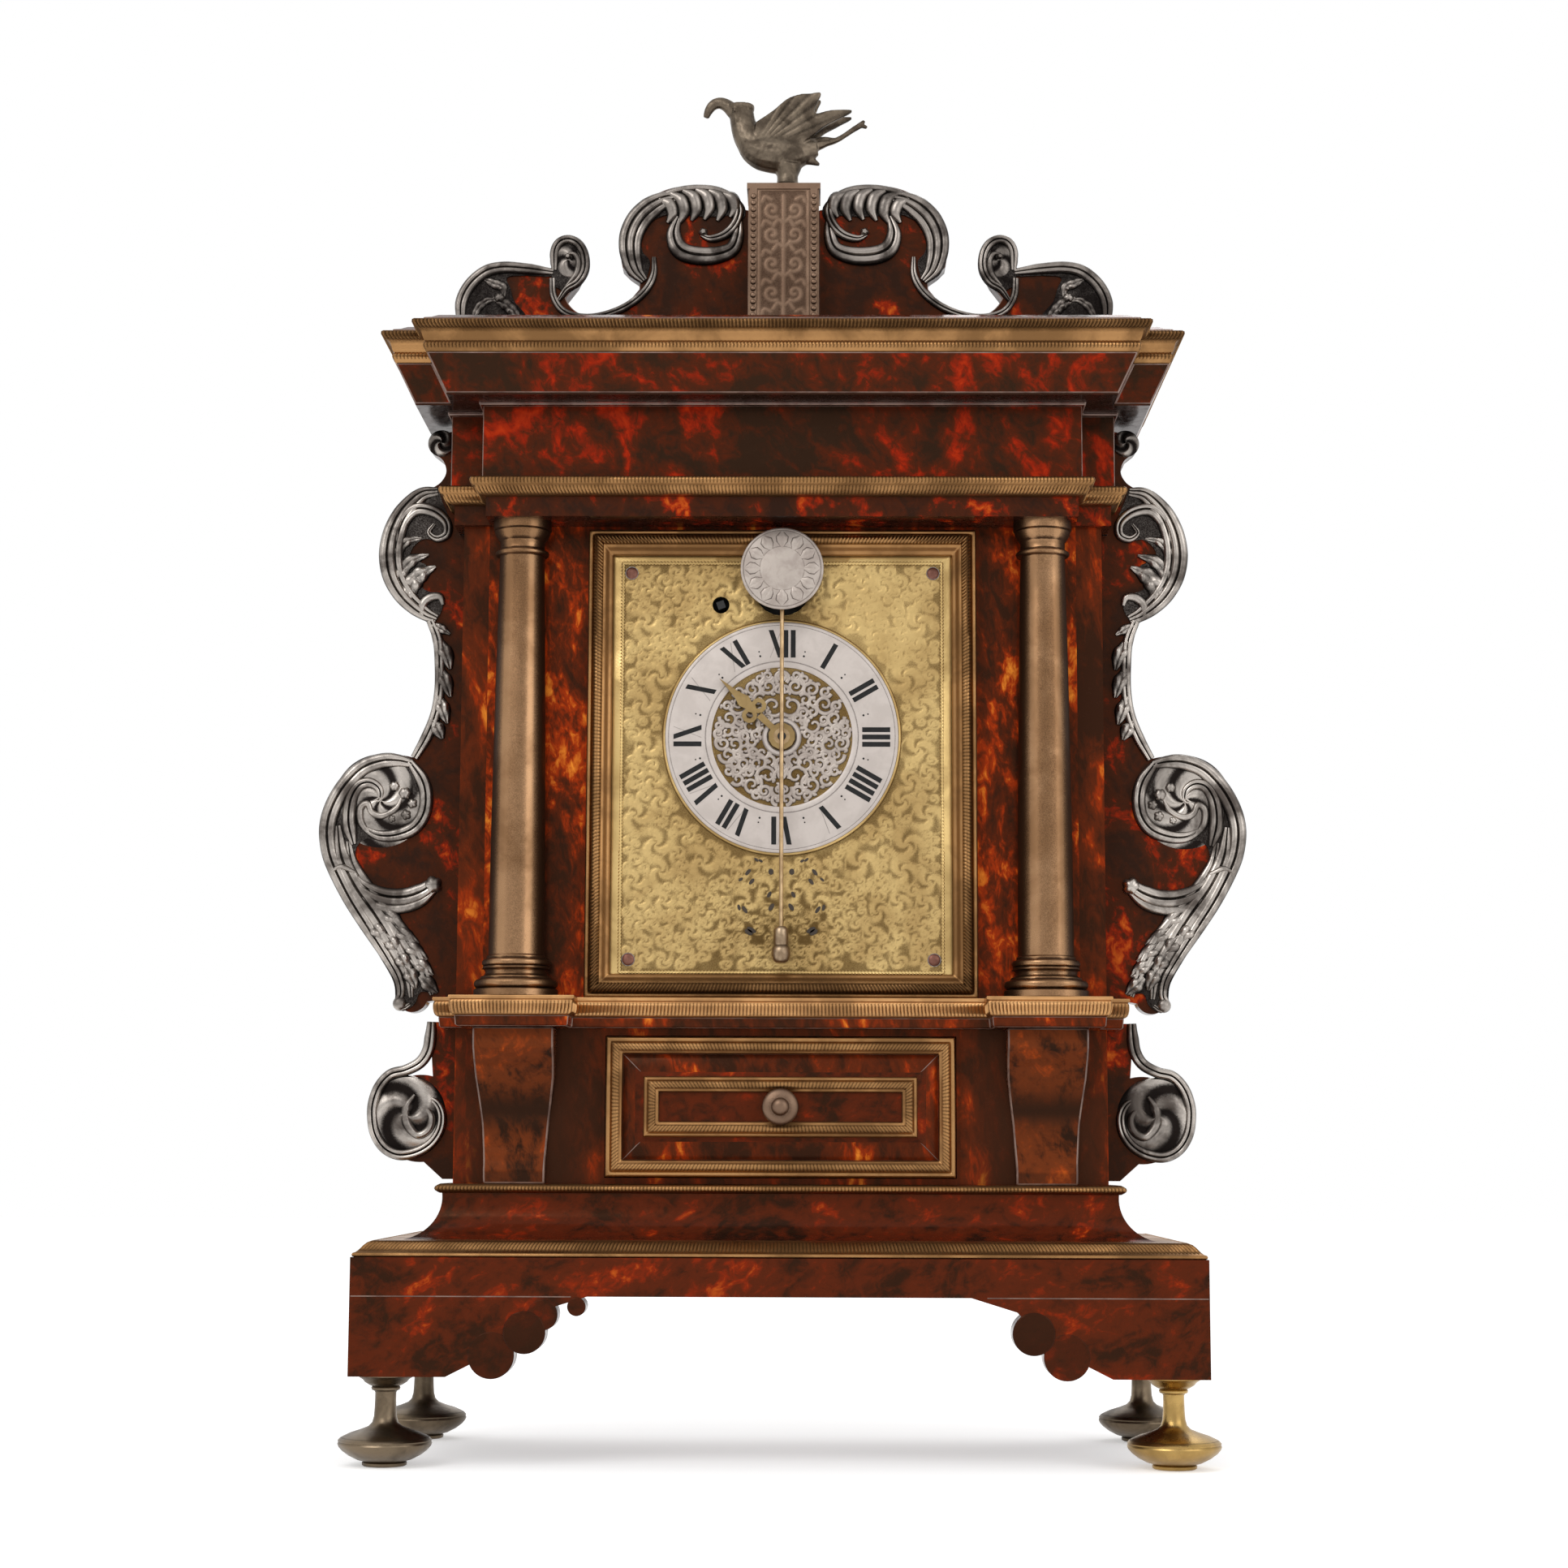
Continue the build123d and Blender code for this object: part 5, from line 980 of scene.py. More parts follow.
# sheets: outline; strands: spine, width, rise, form; bosses and beads: place, radius, rise
crest = {
    "sheets": [
        ([(55, 459.6), (61.8, 461.8), (64.6, 469.7), (64.2, 478.5), (60.6, 486.3), (54.7, 492.7),
          (46.4, 497.1), (36.1, 498.9), (26.8, 498.5), (19.9, 495), (15.6, 490), (16, 485.5), (19, 487),
          (23, 486.6), (28, 486.2), (33, 486.2), (38, 486.6), (43.2, 487.4), (48.6, 486.4), (53.8, 483.2),
          (56.8, 477.6), (56.4, 471.6), (53.4, 467.4)],),
        ([(92.6, 458), (92.6, 472), (90.2, 476.4), (86, 477.6), (81.5, 475.4), (78.6, 470.3), (78.3, 463.6),
          (81.4, 458), (86.2, 455)],),
        ([(129.8, 441), (129.8, 451), (126.5, 458.1), (120.3, 463.8), (112.8, 466), (103.2, 465.8),
          (92.4, 464.6), (92.4, 461.6), (103.2, 461.8), (110.4, 461), (109, 456.6), (107.2, 451),
          (102.8, 445.6), (103.4, 441)], 0.6),
    ],
    "strands": [
        ([(55.6, 459.6), (59.2, 464), (61.2, 470.8), (61, 478.2), (57.8, 485.2), (52.4, 490.4),
          (46.4, 493.4), (41, 494.4)], (3, 6.4, 8, 8.6, 8.8, 8.4, 6.4, 2.4),
         (1.4, 2.2, 2.6, 2.8, 2.9, 2.8, 2.4, 1.4), 3),
        ([(53, 492.2), (45.6, 496.2), (36.4, 498), (27.2, 497.4), (20.4, 494.2), (16.8, 488.8)],
         (1.4, 2.2, 2.4, 2.4, 2.2, 1.4), (1.2, 1.9, 2, 2, 1.8, 1.2), 1),
        ([(42.2, 486), (44, 479), (42, 473), (36.4, 470.2), (27.6, 470), (20.8, 472.6), (18.4, 478.2),
          (17.8, 485)], (2.2, 5.4, 6.6, 6.8, 6.6, 5.6, 4.6, 2.4), (1.4, 2.6, 3, 3, 2.8, 2.6, 2.2, 1.4), 2),
        ([(19, 493.4), (17.8, 488), (19.8, 482.4), (24, 478.4), (29.4, 477), (33, 478.6)],
         (2.2, 3.4, 3.6, 3.4, 3, 1.6), (1.4, 2.6, 2.8, 2.6, 2.2, 1.2), 2),
        ([(51.8, 469.4), (52, 461.8), (55.8, 454.8), (63.4, 448.7), (73.6, 445), (82.2, 444.9),
          (88.4, 447.7), (91.8, 453.6), (92.4, 460.6)], (1.6, 2.8, 2.9, 2.8, 2.8, 2.8, 2.6, 2.4),
         (1.2, 1.9, 2, 2, 1.9, 1.8, 1.4), 2),
        ([(91.6, 464), (91.6, 471.4), (89.6, 475.4), (85.8, 476.6), (81.9, 474.6), (79.6, 470),
          (79.5, 463.9), (82.3, 458.9), (86.7, 456), (89.8, 451.6)],
         (2, 3.2, 3.4, 3.4, 3.4, 3.4, 3.2, 2.6, 1.4), (1.4, 2.2, 2.4, 2.4, 2.4, 2.2, 1.6), 2),
        ([(86.8, 457.4), (82.9, 462), (82, 467), (83.4, 470.2), (86, 470.4), (86.9, 468.4)],
         (1.2, 2.4, 2.6, 2.2, 1.2), (1.4, 2.6, 2.8, 2.6, 1.8), 1),
        ([(128.4, 441.4), (128.5, 450.6), (125.2, 457.8), (119.2, 463.2), (112.4, 465), (103.2, 464.6),
          (92, 463.2)], (3, 4.4, 4.6, 4.6, 4.4, 4, 2.6), (1.4, 2.2, 2.4, 2.4, 2.2, 2, 1.4), 2),
        ([(120, 460.6), (115.6, 458.4), (112, 456.8), (111.6, 453)], (1.4, 4.4, 4.6, 1.4), (1, 2.2, 2.2, 1),
         "leaf", 4),
        ([(116, 452.6), (111, 450), (107.6, 446.8), (104.4, 442.6)], (1.6, 5.2, 5.2, 1.4), (1, 2.4, 2.3, 1),
         "leaf", 5),
        ([(124, 443), (121.6, 448.6), (117.4, 451.6), (113.6, 451.4)], (1.6, 4, 3.6, 1.2), (1, 1.9, 1.8, 1),
         "leaf", 4),
    ],
    "bosses": [(85.6, 468.2, 7.8, 1.7, 3, 0.9, 0.5, 12, 60, 0.9)],
    "beads": [(113.2, 452.4, 2.4, 2.8, 6), (86.2, 469.4, 1.5, 2.8), (32.2, 479.6, 2, 2.6, 5)],
}
leafwork = mountOf(crest, pediment["front"])
flutes = [(50, 493.2), (45.4, 495.6), (40.4, 496.8), (35.2, 497.2), (30, 496.8), (25, 495.6)]
for index, (x, z) in enumerate(flutes):
    drop = 1.0 if 0 < index < 5 else 0.78
    spine = [(x, z), (x - 4.2, z - 2.8 * drop), (x - 5.4, z - 7.6 * drop), (x - 3.4, z - 12.4 * drop)]
    leafwork.append(ribbon(spine, (2.2, 4.9, 4.6, 1.4), (1.8, 3.3, 3, 1.2), pediment["front"], 1))
addPiece("pediment_scrolls_chased", bothSides(joined(leafwork)), "crestSilver", ("pediment_scrolls",))
print("pediment mounted")

# ears: two boards a side, and the mount on them
ear = {"front": -17.5, "back": -8.5}


def earBoard():
    low = [(124.3, 104.5), (129.8, 104.5)] + arcPoints((138.5, 127.6), 16.7, -95, 105, 36)
    low += [(134.8, 152), (134.8, 164.6), (124.3, 164.6)]
    main = [(132.4, 173.2)] + arcPoints((142.8, 174.4), 6.1, 200, 380, 20)
    lowStem = [(147.4, 178.6), (149.8, 189.6), (158.6, 199.6), (168, 213)]
    main += list(curved(lowStem, 1.5))
    main += arcPoints((151.5, 241.5), 27.2, -36, 105, 36)
    stem = [(141.6, 271), (138.4, 280), (135.6, 300), (138, 316), (141, 323.6)]
    main += list(curved(stem, 1.5))
    main += arcPoints((131.5, 350), 26.2, -66, 72, 36)
    neck = [(139, 375.2), (135.4, 377.8), (133.4, 381.8), (134.6, 386.2), (137.8, 389)]
    main += list(curved(neck, 1)[1:-1])
    main += arcPoints((135.5, 393.5), 5, -60, 120, 14)
    main += [(129.3, 398.6), (129.3, 371.2), (133, 371.2), (133, 370.2), (129.2, 364.8), (127.7, 363.8),
             (127.7, 356.3), (124.3, 356.3), (124.3, 173.4), (132.4, 173.4)]
    return joined([extruded(low, ear["front"], ear["back"]), extruded(main, ear["front"], ear["back"])])


earMount = {
    "sheets": [
        ([(136.5, 375.4), (143.6, 374.8), (151.4, 367.9), (155.8, 359), (157.6, 348.5), (156, 338.3),
          (150.8, 329.6), (141.5, 322.4), (137.1, 321.2), (133.6, 327.6), (135.6, 332.2), (141.4, 334.6),
          (144.4, 339.6), (140.4, 344), (146.4, 346.6), (146.2, 350.8), (141.6, 354.6), (134.6, 353.6),
          (131.2, 357.6), (132, 363.2), (134.6, 369.6)],),
        ([(143.8, 266.2), (149.4, 268.2), (156.8, 268.2), (165.4, 265), (172.2, 257.9), (177.2, 249.1),
          (179.3, 240.3), (178.5, 231.6), (176.4, 224.6), (170.4, 212.5), (162.8, 200.8), (155.2, 189.1),
          (150.2, 180.4), (149.2, 174.6), (149.4, 170.8), (145.4, 169.1), (141.6, 171.6), (139.6, 176),
          (134.8, 176.8), (139.4, 187.4), (147.2, 198.2), (153.4, 206), (146.4, 207.2), (138.8, 210),
          (133.6, 216.4), (136.4, 219), (142, 215.4), (150, 214.2), (158.6, 216.4), (164.4, 222),
          (165.8, 231), (162.4, 235.4), (157, 235), (150.2, 234.8), (142.3, 237.8), (137.6, 243.9),
          (136.7, 252.3), (138.6, 259.9)],),
    ],
    "strands": [
        ([(136.6, 373.8), (142.8, 372.4), (149.2, 365.8), (153, 357.6), (154.4, 348.4), (152.9, 339.4),
          (148.2, 331.4), (141.2, 325.2), (136, 322.6)], (3.2, 6, 7.4, 8.4, 8.8, 8.4, 7.6, 6.2, 3.4),
         (1.4, 2.3, 2.7, 3, 3.1, 3, 2.7, 2.2, 1.4), 3),
        ([(151.4, 350), (150.8, 359.6), (145.4, 366.2), (138.4, 365.8), (133, 361.6), (132.6, 356.6),
          (136.4, 354.8), (139.6, 357.2), (137.6, 360.6)], (1.8, 4.4, 5, 4.8, 4.4, 3.8, 3.2, 2.4, 1.4),
         (1.2, 2.4, 2.8, 2.8, 2.6, 2.4, 2, 1.4), 2),
        ([(153, 345), (151, 350.6), (147.6, 354), (142.6, 355)], (1.6, 4.6, 4.2, 1.2), (1.2, 2.6, 2.4, 1),
         "leaf", 3),
        ([(152.2, 334.6), (149.8, 341.6), (146, 346), (139.6, 348.4)], (1.8, 6, 5.6, 1.2),
         (1.2, 2.9, 2.7, 1), "leaf", 3),
        ([(148.4, 327.4), (146.8, 334.6), (143.2, 340), (136.8, 343.6)], (2.2, 8.4, 7.8, 1.6),
         (1.4, 3.1, 2.9, 1), "leaf", 4),
        ([(141.8, 323.8), (141.4, 328.6), (138.4, 331.2), (134.8, 331.4), (133.6, 328.2)],
         (2, 3.6, 3.6, 3, 1.6), (1.4, 2.4, 2.4, 2, 1.2), 1),
        ([(138.4, 322), (135.2, 313.7), (134.4, 303.1), (134.4, 294.1), (135.6, 285.1), (138.8, 276.2),
          (143.6, 267.4)], (3, 3.8, 3.6, 3.6, 3.8, 4, 3), (1.6, 2.2, 2, 2, 2.2, 2.2, 1.8), 2),
        ([(137.6, 320.4), (133.6, 318.4), (130.6, 316.6)], (2.6, 4.6, 1.2), (1.6, 2.4, 1), "leaf", 3),
        ([(144.4, 265.2), (150, 266.3), (156.6, 266.1), (164.2, 263), (170.6, 256.2), (175, 248.2),
          (176.9, 240.2), (176.2, 231.6), (173.6, 224), (167.6, 212.4), (160.4, 201.2), (153.2, 190.2),
          (148.2, 181.6), (147, 175.6), (148.2, 172.2), (146.2, 169.8), (143.4, 171.4)],
         (3, 5.2, 5.8, 6, 6, 6, 6, 5.8, 5.6, 5.4, 5.2, 5, 4.4, 3.8, 3.4, 2.8, 1.6),
         (1.6, 2.4, 2.8, 2.9, 3, 3, 3, 2.9, 2.8, 2.6, 2.4, 2.2, 2, 1.8, 1.4), 2),
        ([(145.4, 266), (140.4, 258.8), (138.7, 252), (139.6, 245), (143.6, 239.6), (150.6, 236.9),
          (157.2, 237), (163, 240)], (2.6, 4.6, 4.8, 4.8, 4.8, 4.6, 4, 2.2),
         (1.6, 2.6, 2.8, 2.8, 2.7, 2.6, 2.2, 1.4), 2),
        ([(166.6, 233.4), (168.6, 242), (168, 250.4), (165, 256.2), (160.8, 257.6), (157.2, 255.4),
          (156.6, 251.6), (159.2, 250)], (2.4, 5, 5, 4.8, 4.4, 3.8, 3, 1.6),
         (1.6, 2.8, 3, 3, 2.8, 2.6, 2.2, 1.4), 2),
        ([(160, 237), (163.8, 242), (164.2, 247.6), (161.4, 249.4), (159.8, 246), (155.6, 244.6),
          (150.6, 247.2), (148.4, 251.4)], (1.6, 2.8, 3, 2.8, 2.8, 2.8, 2.6, 1.4),
         (1.2, 2.3, 2.4, 2.4, 2.4, 2.3, 1.6), 1),
        ([(173, 240.6), (171.2, 228.8), (165.8, 217.4), (157.2, 205.4), (149.8, 193.6), (144.4, 183.4),
          (143, 174)], (2.6, 6, 6.6, 6.6, 6, 4.8, 2), (1.4, 2.5, 2.7, 2.7, 2.5, 2.2, 1.4), 2),
        ([(168.8, 234.6), (166.8, 225.6), (161.6, 217), (154.2, 207.2), (145.8, 197), (139.2, 186),
          (135, 175)], (2.2, 4.8, 5.6, 6, 5.8, 4.6, 1.8), (1.2, 2.2, 2.4, 2.4, 2.3, 2, 1.2), 2),
        ([(175, 222.4), (171.2, 224.6), (165.6, 222.4)], (1.8, 2.6, 1.8), (2.8, 3.5, 2.8), 1),
        ([(167.8, 222.6), (161.4, 216.4), (154, 213.2), (146.2, 212.9), (139.8, 215), (134.8, 218.4)],
         (2.4, 4.8, 6, 6.4, 6.4, 4.4), (1.6, 2.8, 3.1, 3.2, 3, 2.4), 2),
        ([(163, 212.6), (154.8, 208.8), (146.4, 208.6), (139.4, 211.2), (134.4, 215.8)],
         (2, 3.6, 3.8, 3.6, 2), (1.4, 2.5, 2.6, 2.4, 1.6), 1),
        ([(135, 164.6), (135.2, 159.9), (136.1, 153.7), (139, 149), (144.4, 146), (150.2, 144.4),
          (154.4, 140), (156.6, 134.2), (157, 128.6), (155.8, 121.9), (152.2, 116.4), (146.6, 113.7),
          (140, 114.6), (134.4, 118), (130.9, 123.4), (130.4, 129.4), (133, 134), (137.4, 135.4)],
         (3, 4.2, 4.2, 4, 3.8, 3.8, 3.8, 3.8, 3.8, 3.8, 3.8, 3.8, 3.8, 3.6, 3.4, 3.2, 2.8, 1.6),
         (1.6, 2.2, 2.4, 2.6, 2.8, 2.9, 2.9, 2.9, 2.8, 2.7, 2.6, 2.4, 2.2, 1.4), 2),
        ([(140.8, 136.6), (144, 131.6), (143.4, 125.6), (139.4, 121.2), (135.2, 123.4), (134.2, 128.2),
          (137.2, 131.8), (140, 129.6)], (1.6, 3.4, 3.8, 3.6, 3.4, 3.2, 2.6, 1.4),
         (2.2, 3.2, 3.4, 3.4, 3.2, 3, 2.6, 2), 1),
    ],
    "bosses": [(156.4, 250.6, 18.4, 1.7, 5, 1.7, 0.42, 22, 110, 0.95),
               (143.7, 129.2, 14.8, 3, 3, 1.25, 0.6, 22, 120, 0.95),
               (135.4, 393.4, 5.4, 2.8, 3, 1, 0.55, 10, 48, 0.95)],
    "beads": [(135.4, 217.6, 3.8, 3.6, 5), (147.4, 171.6, 2.8, 2.8), (151, 256.2, 2.4, 2.6, 6),
              (147, 253.4, 2.8, 3, 6), (144, 249.4, 2.3, 2.6, 5), (146.4, 245, 2.4, 2.6, 5),
              (151.8, 243.4, 1.9, 2.2, 5)],
}
leaves = [((134.6, 314), (131.8, 308), (130.2, 302.6)), ((134.4, 303), (131.8, 297), (130, 291.6)),
          ((134.6, 292), (132.8, 286.4), (131, 281)), ((137, 282), (134.6, 278.6), (132.8, 275)),
          ((156.6, 208), (150.6, 204.4), (146.4, 200.8)), ((151.4, 201.6), (146, 198), (140.6, 194.8)),
          ((147.4, 195.6), (142, 192.2), (137.2, 188.6)), ((143.4, 188.6), (138.8, 185.8), (134.8, 182.6)),
          ((140, 182), (136.4, 179), (132.9, 175.8))]
frontLeaves = [((160.6, 203), (156, 199.2), (152.6, 194.6)),
               ((154.2, 198.4), (150.2, 194.2), (147.2, 189.6)),
               ((149.6, 192), (146.2, 187.8), (143.8, 183.2)), ((145.8, 186.2), (143, 182), (141.2, 177.4))]
chased = mountOf(earMount, ear["front"])
for spines, width, rise in ((leaves, (2.6, 6.4, 5.8, 1.6), (1.8, 3.3, 3, 1.2)),
                            (frontLeaves, (2.4, 6.6, 6, 1.6), (2.4, 3.9, 3.7, 1.8))):
    chased += [ribbon(spine, width, rise, ear["front"], "leaf", 2) for spine in spines]
mount = joined(chased)
blank = earBoard()
for side, label in sides[::-1]:
    board, scrolls = "ear_board_" + label, "ear_mount_" + label
    softenEdges(addPiece(board + "_sawn", onSide(blank, side), "shellBoard", (board,)), 0.35, "shellEdge")
    addPiece(scrolls + "_chased", onSide(mount, side), "silver", (scrolls,))
print("ears mounted")

# block under the bird, with engraved front and beaded borders
block = {"front": -27, "curls": (440, 452, 464, 476, 486), "step": 0.35, "borderX": 9.8, "beadX": 12.0}
dress("pediment_block", "engravedBrass", 0.3)
blockLines = []
for z in block["curls"]:
    for hand in (-1, 1):
        blockLines.append(np.array([(hand * x, y) for x, y in spiral((4.4, z), 3.4, 0.5, -120, 400, 60)]))
        for leaf in (((0.4, -5), (2.2, -4), (4, -6.4)), ((5, 4.4), (7.4, 5.4), (8.6, 3.4))):
            blockLines.append(curved([(hand * across, z + up) for across, up in leaf], block["step"]))
for x, low, high in ((0, 433, 492), (-block["borderX"], 431, 494), (block["borderX"], 431, 494)):
    blockLines.append(np.array([(x, z) for z in np.arange(low, high, block["step"])]))
blockSkin = engravedSkin(np.arange(-10.5, 10.51, 0.5), np.arange(430.4, 494.3, 0.5), blockLines, 0.7, 0.3,
                         block["front"] - 0.2, lambda x, z: 0.0 * x)
addPiece("block_engraving", blockSkin, "engravedBrass", angle=80, closed=False)
beads = [dome(side * block["beadX"], z, 1.15, 0.9, block["front"] - 0.8)
         for side in (-1, 1) for z in np.arange(432, 494, 2.7)]
addPiece("block_beading", joined(beads), "engravedBrass")

# bird, cast in one from limbs and two wings
bird = {
    "y": -18, "voxel": 0.45, "wingY": 4.2, "wingHalf": 1.1, "foot": 497, "feathers": 46, "featherDeep": 0.2,
    "limbs": [
        ([(-15, 517.6), (-10, 513.8), (-2, 512.4), (6, 513.4), (13, 515.2)],
         (5.2, 7.8, 8.4, 6.8, 3.6), (5, 6.6, 7, 5.8, 2.8)),
        ([(-10.6, 513.4), (-14.6, 519.6), (-16.6, 525.6), (-17.4, 532)], (6.6, 5.9, 5.1, 4.8),
         (6, 5.2, 4.6, 4.2)),
        ([(-17.4, 530.4), (-17.4, 532.4)], (5.4, 5.5), (4.8, 4.9), 18, 0.5),
        ([(-20.2, 530), (-23.2, 532.6), (-26.2, 533.6), (-28.9, 532.4), (-30.6, 529.8), (-31.4, 527.4)],
         (3.2, 2.7, 2.4, 2.2, 1.8, 1.2), (2.6, 2.4, 2.1, 1.9, 1.6, 1.1)),
        ([(9, 515), (20, 517.6), (28, 522.6), (31.6, 524.9)], (3.6, 1.2, 1, 1.3), (2.6, 1.6, 1.2, 1)),
        ([(30.6, 524.2), (32.2, 526.2)], (1, 0.7), (0.9, 0.7), 12, 0.4),
        ([(30.6, 524.2), (33.3, 523.3)], (1, 0.7), (0.9, 0.7), 12, 0.4),
        ([(6, 514), (14, 517.9), (20.5, 518.6)], (3, 1.6, 0.5), (2.6, 1.6, 0.6)),
        ([(2, 511.4), (9, 510.2), (14.2, 507.8)], (4.4, 2.8, 0.6), (4, 2.4, 0.7)),
        ([(8, 512.6), (13, 513.4)], (2.6, 0.7), (2.2, 0.7)),
    ],
    "perch": [(5.6, 0), (5.8, 0.6), (5.6, 1.4), (4.6, 2.2), (4.2, 4), (4.2, 6), (5.2, 8.4), (5.8, 10)],
    "wing": [(-11.3, 523.9), (-5, 528.3), (1.3, 533.6), (6, 535.4), (11, 535.9), (14.8, 536.1),
             (13.4, 532.4), (12.2, 527.6), (18.5, 528.8), (27.3, 528.8), (21.6, 525.2), (16.2, 522.2),
             (12, 518.8), (6, 515), (-2, 513), (-8, 515), (-11.5, 519), (-11.3, 523.9)],
}
y = bird["y"]
birdShapes = [limb([(x, y, z) for x, z in spine], *rest) for spine, *rest in bird["limbs"]]
birdShapes.append(lathed(bird["perch"], (1.4, y, bird["foot"]), "z", 28))
wing = curved(bird["wing"], 0.8)[:-1]
for hand in (-1, 1):
    middle = y + hand * bird["wingY"]
    birdShapes.append(extruded(wing, middle - bird["wingHalf"], middle + bird["wingHalf"]))
    eye = [(-20.4, y + hand * 3.9, 529.2), (-19.2, y + hand * 4, 529.2)]
    birdShapes.append(limb(eye, (0.8, 0.8), (0.8, 0.8), 10, 0.4))
rough = joined(birdShapes)
draft = bpy.data.meshes.new("birdDraft")
draft.from_pydata((rough[0] * mm).tolist(), [], rough[1])
draftPiece = bpy.data.objects.new("birdDraft", draft)
bpy.context.scene.collection.objects.link(draftPiece)
remesh = draftPiece.modifiers.new("cast", "REMESH")
remesh.mode = "VOXEL"
remesh.voxel_size = bird["voxel"] * mm
smooth = draftPiece.modifiers.new("ease", "SMOOTH")
smooth.iterations = 2
bpy.context.view_layer.update()
cast = draftPiece.evaluated_get(bpy.context.evaluated_depsgraph_get()).to_mesh()
castPoints = np.empty(len(cast.vertices) * 3)
cast.vertices.foreach_get("co", castPoints)
castPoints = castPoints.reshape(-1, 3) * 1000
castFaces = [tuple(polygon.vertices) for polygon in cast.polygons]
bpy.data.objects.remove(draftPiece)
bpy.data.meshes.remove(draft)
castX, castY, castZ = castPoints.T.copy()
fan = np.arctan2(castZ - 511, castX + 13)
onWing = np.clip((np.abs(castY - y) - 2.6) / 0.8, 0, 1) * np.clip((castZ - 515) / 4, 0, 1)
onWing *= np.clip((castX + 9) / 4, 0, 1)
scales = 0.25 + 0.25 * np.sin(castX * 1.9 + castZ * 0.7) * np.sin(castZ * 1.9 - castX * 0.7)
feather = (0.5 + 0.5 * np.cos(fan * bird["feathers"])) * onWing + scales * (1 - onWing)
castPoints[:, 1] -= np.sign(castY - y) * feather * bird["featherDeep"]
castPoints[:, 2] = np.maximum(castZ, bird["foot"])
addPiece("bird_cast", (castPoints, castFaces, 0.55 * feather), "bronze", ("bird_finial",), angle=80)
print("bird cast with", len(castFaces), "faces")

# these keep their solids: look, width of the arris, its line, nodes
dressed = [
    ("shellPlinth", 0.35, "shellEdge", ("plinth_board", "scotia", "drawer_front", "plinth_brackets")),
    ("shellPanel", 0.35, "shellEdge", ("case_sides", "drawer_surround")),
    ("shellFlame", 0.35, "shellEdge", ("dial_surround",)),
    ("shellBoard", 0.35, "shellEdge", ("architrave_band",)),
    ("ebonisedWood", 0.5, None, ("roof_board", "back_frame", "back_door")),
    ("carcassWood", 0.4, None, ("case_shelves", "drawer_box")),
    # painted shade: the movement front plate and the winding arbor are blackened so the verge and winding
    # holes read dark
    ("holeShadowBlack", 0.1, None, ("winding_arbor", "movement_front_plate")),
    ("handGilt", 0.15, None, ("hour_hand",)),
    ("rodBrass", 0.1, None, ("hour_wheel",)),
]
for look, width, line, names in dressed:
    for node in names:
        dress(node, look, width, line)

# corbels: S profile, narrower at the foot
corbel = {"out": [(103, 4.5), (105.5, 4.9), (108, 5), (112, 3.7), (117, 2.5), (122, 1.9), (125, 1.8),
                  (129, 2.2), (133, 3.3), (137, 4.9), (140, 6.2), (143, 7.6), (147, 10), (150, 12.2),
                  (154, 15.2), (157, 15.6), (161.6, 15.6)],
          "half": [(103, 11.6), (111, 11.7), (125.5, 12.7), (135, 13.9), (143, 14.9), (150, 15.2),
                   (165, 15.2)]}
zs = np.unique(np.r_[[z for z, out in corbel["out"]], np.arange(104, 161, 1.5)])
outs = np.interp(zs, *zip(*corbel["out"]))
halves = np.interp(zs, *zip(*corbel["half"]))
rows, shade = [], []
for z, out, half in zip(zs, outs, halves):
    front, back = case["front"] - out, case["front"]
    rows += [(-half, front, z), (half, front, z), (half, back, z), (-half, back, z)]
    # painted shade in the hollow of the S and darker at the foot; the back rows carry painted shade on the
    # sides
    hollowShade = 0.98 * math.exp(-((z - 131) / 7) ** 2) + (0.45 if z < 108 else 0)
    shade += [hollowShade, hollowShade, 0.9, 0.9]
console = (np.array(rows), ringFaces(len(zs), 4), np.array(shade))
for side, label in sides:
    shape = moved(console, side * case["column"])
    softenEdges(addPiece("corbel_" + label + "_carved", shape, "shellCorbelLit", ("corbels",)), 0.7,
                "shellEdge")


# thin veneer sheets of painted shade, darker towards the corbels
def veneer(columnsAt, low, high, front, depth=0.12):
    edge = ((front - depth, low), (front - depth, high), (front, high), (front, low))
    points = [(x, y, z) for x, mark in columnsAt for y, z in edge]
    return np.array(points), ringFaces(len(columnsAt), 4), np.repeat([mark for x, mark in columnsAt], 4)


strips = {"inner": [(68, 0), (72, 0.2), (76, 0.6), (82, 0.9), (90, 0.95)],
          "outer": [(110, 0.95), (116, 0.9), (120, 0.7), (123.6, 0.45)]}
shape = joined([veneer(strip, 103.2, 161.4, case["front"]) for strip in strips.values()])
for side, label in sides:
    addPiece("shaded_veneer_" + label, onSide(shape, side), "shellPanel")

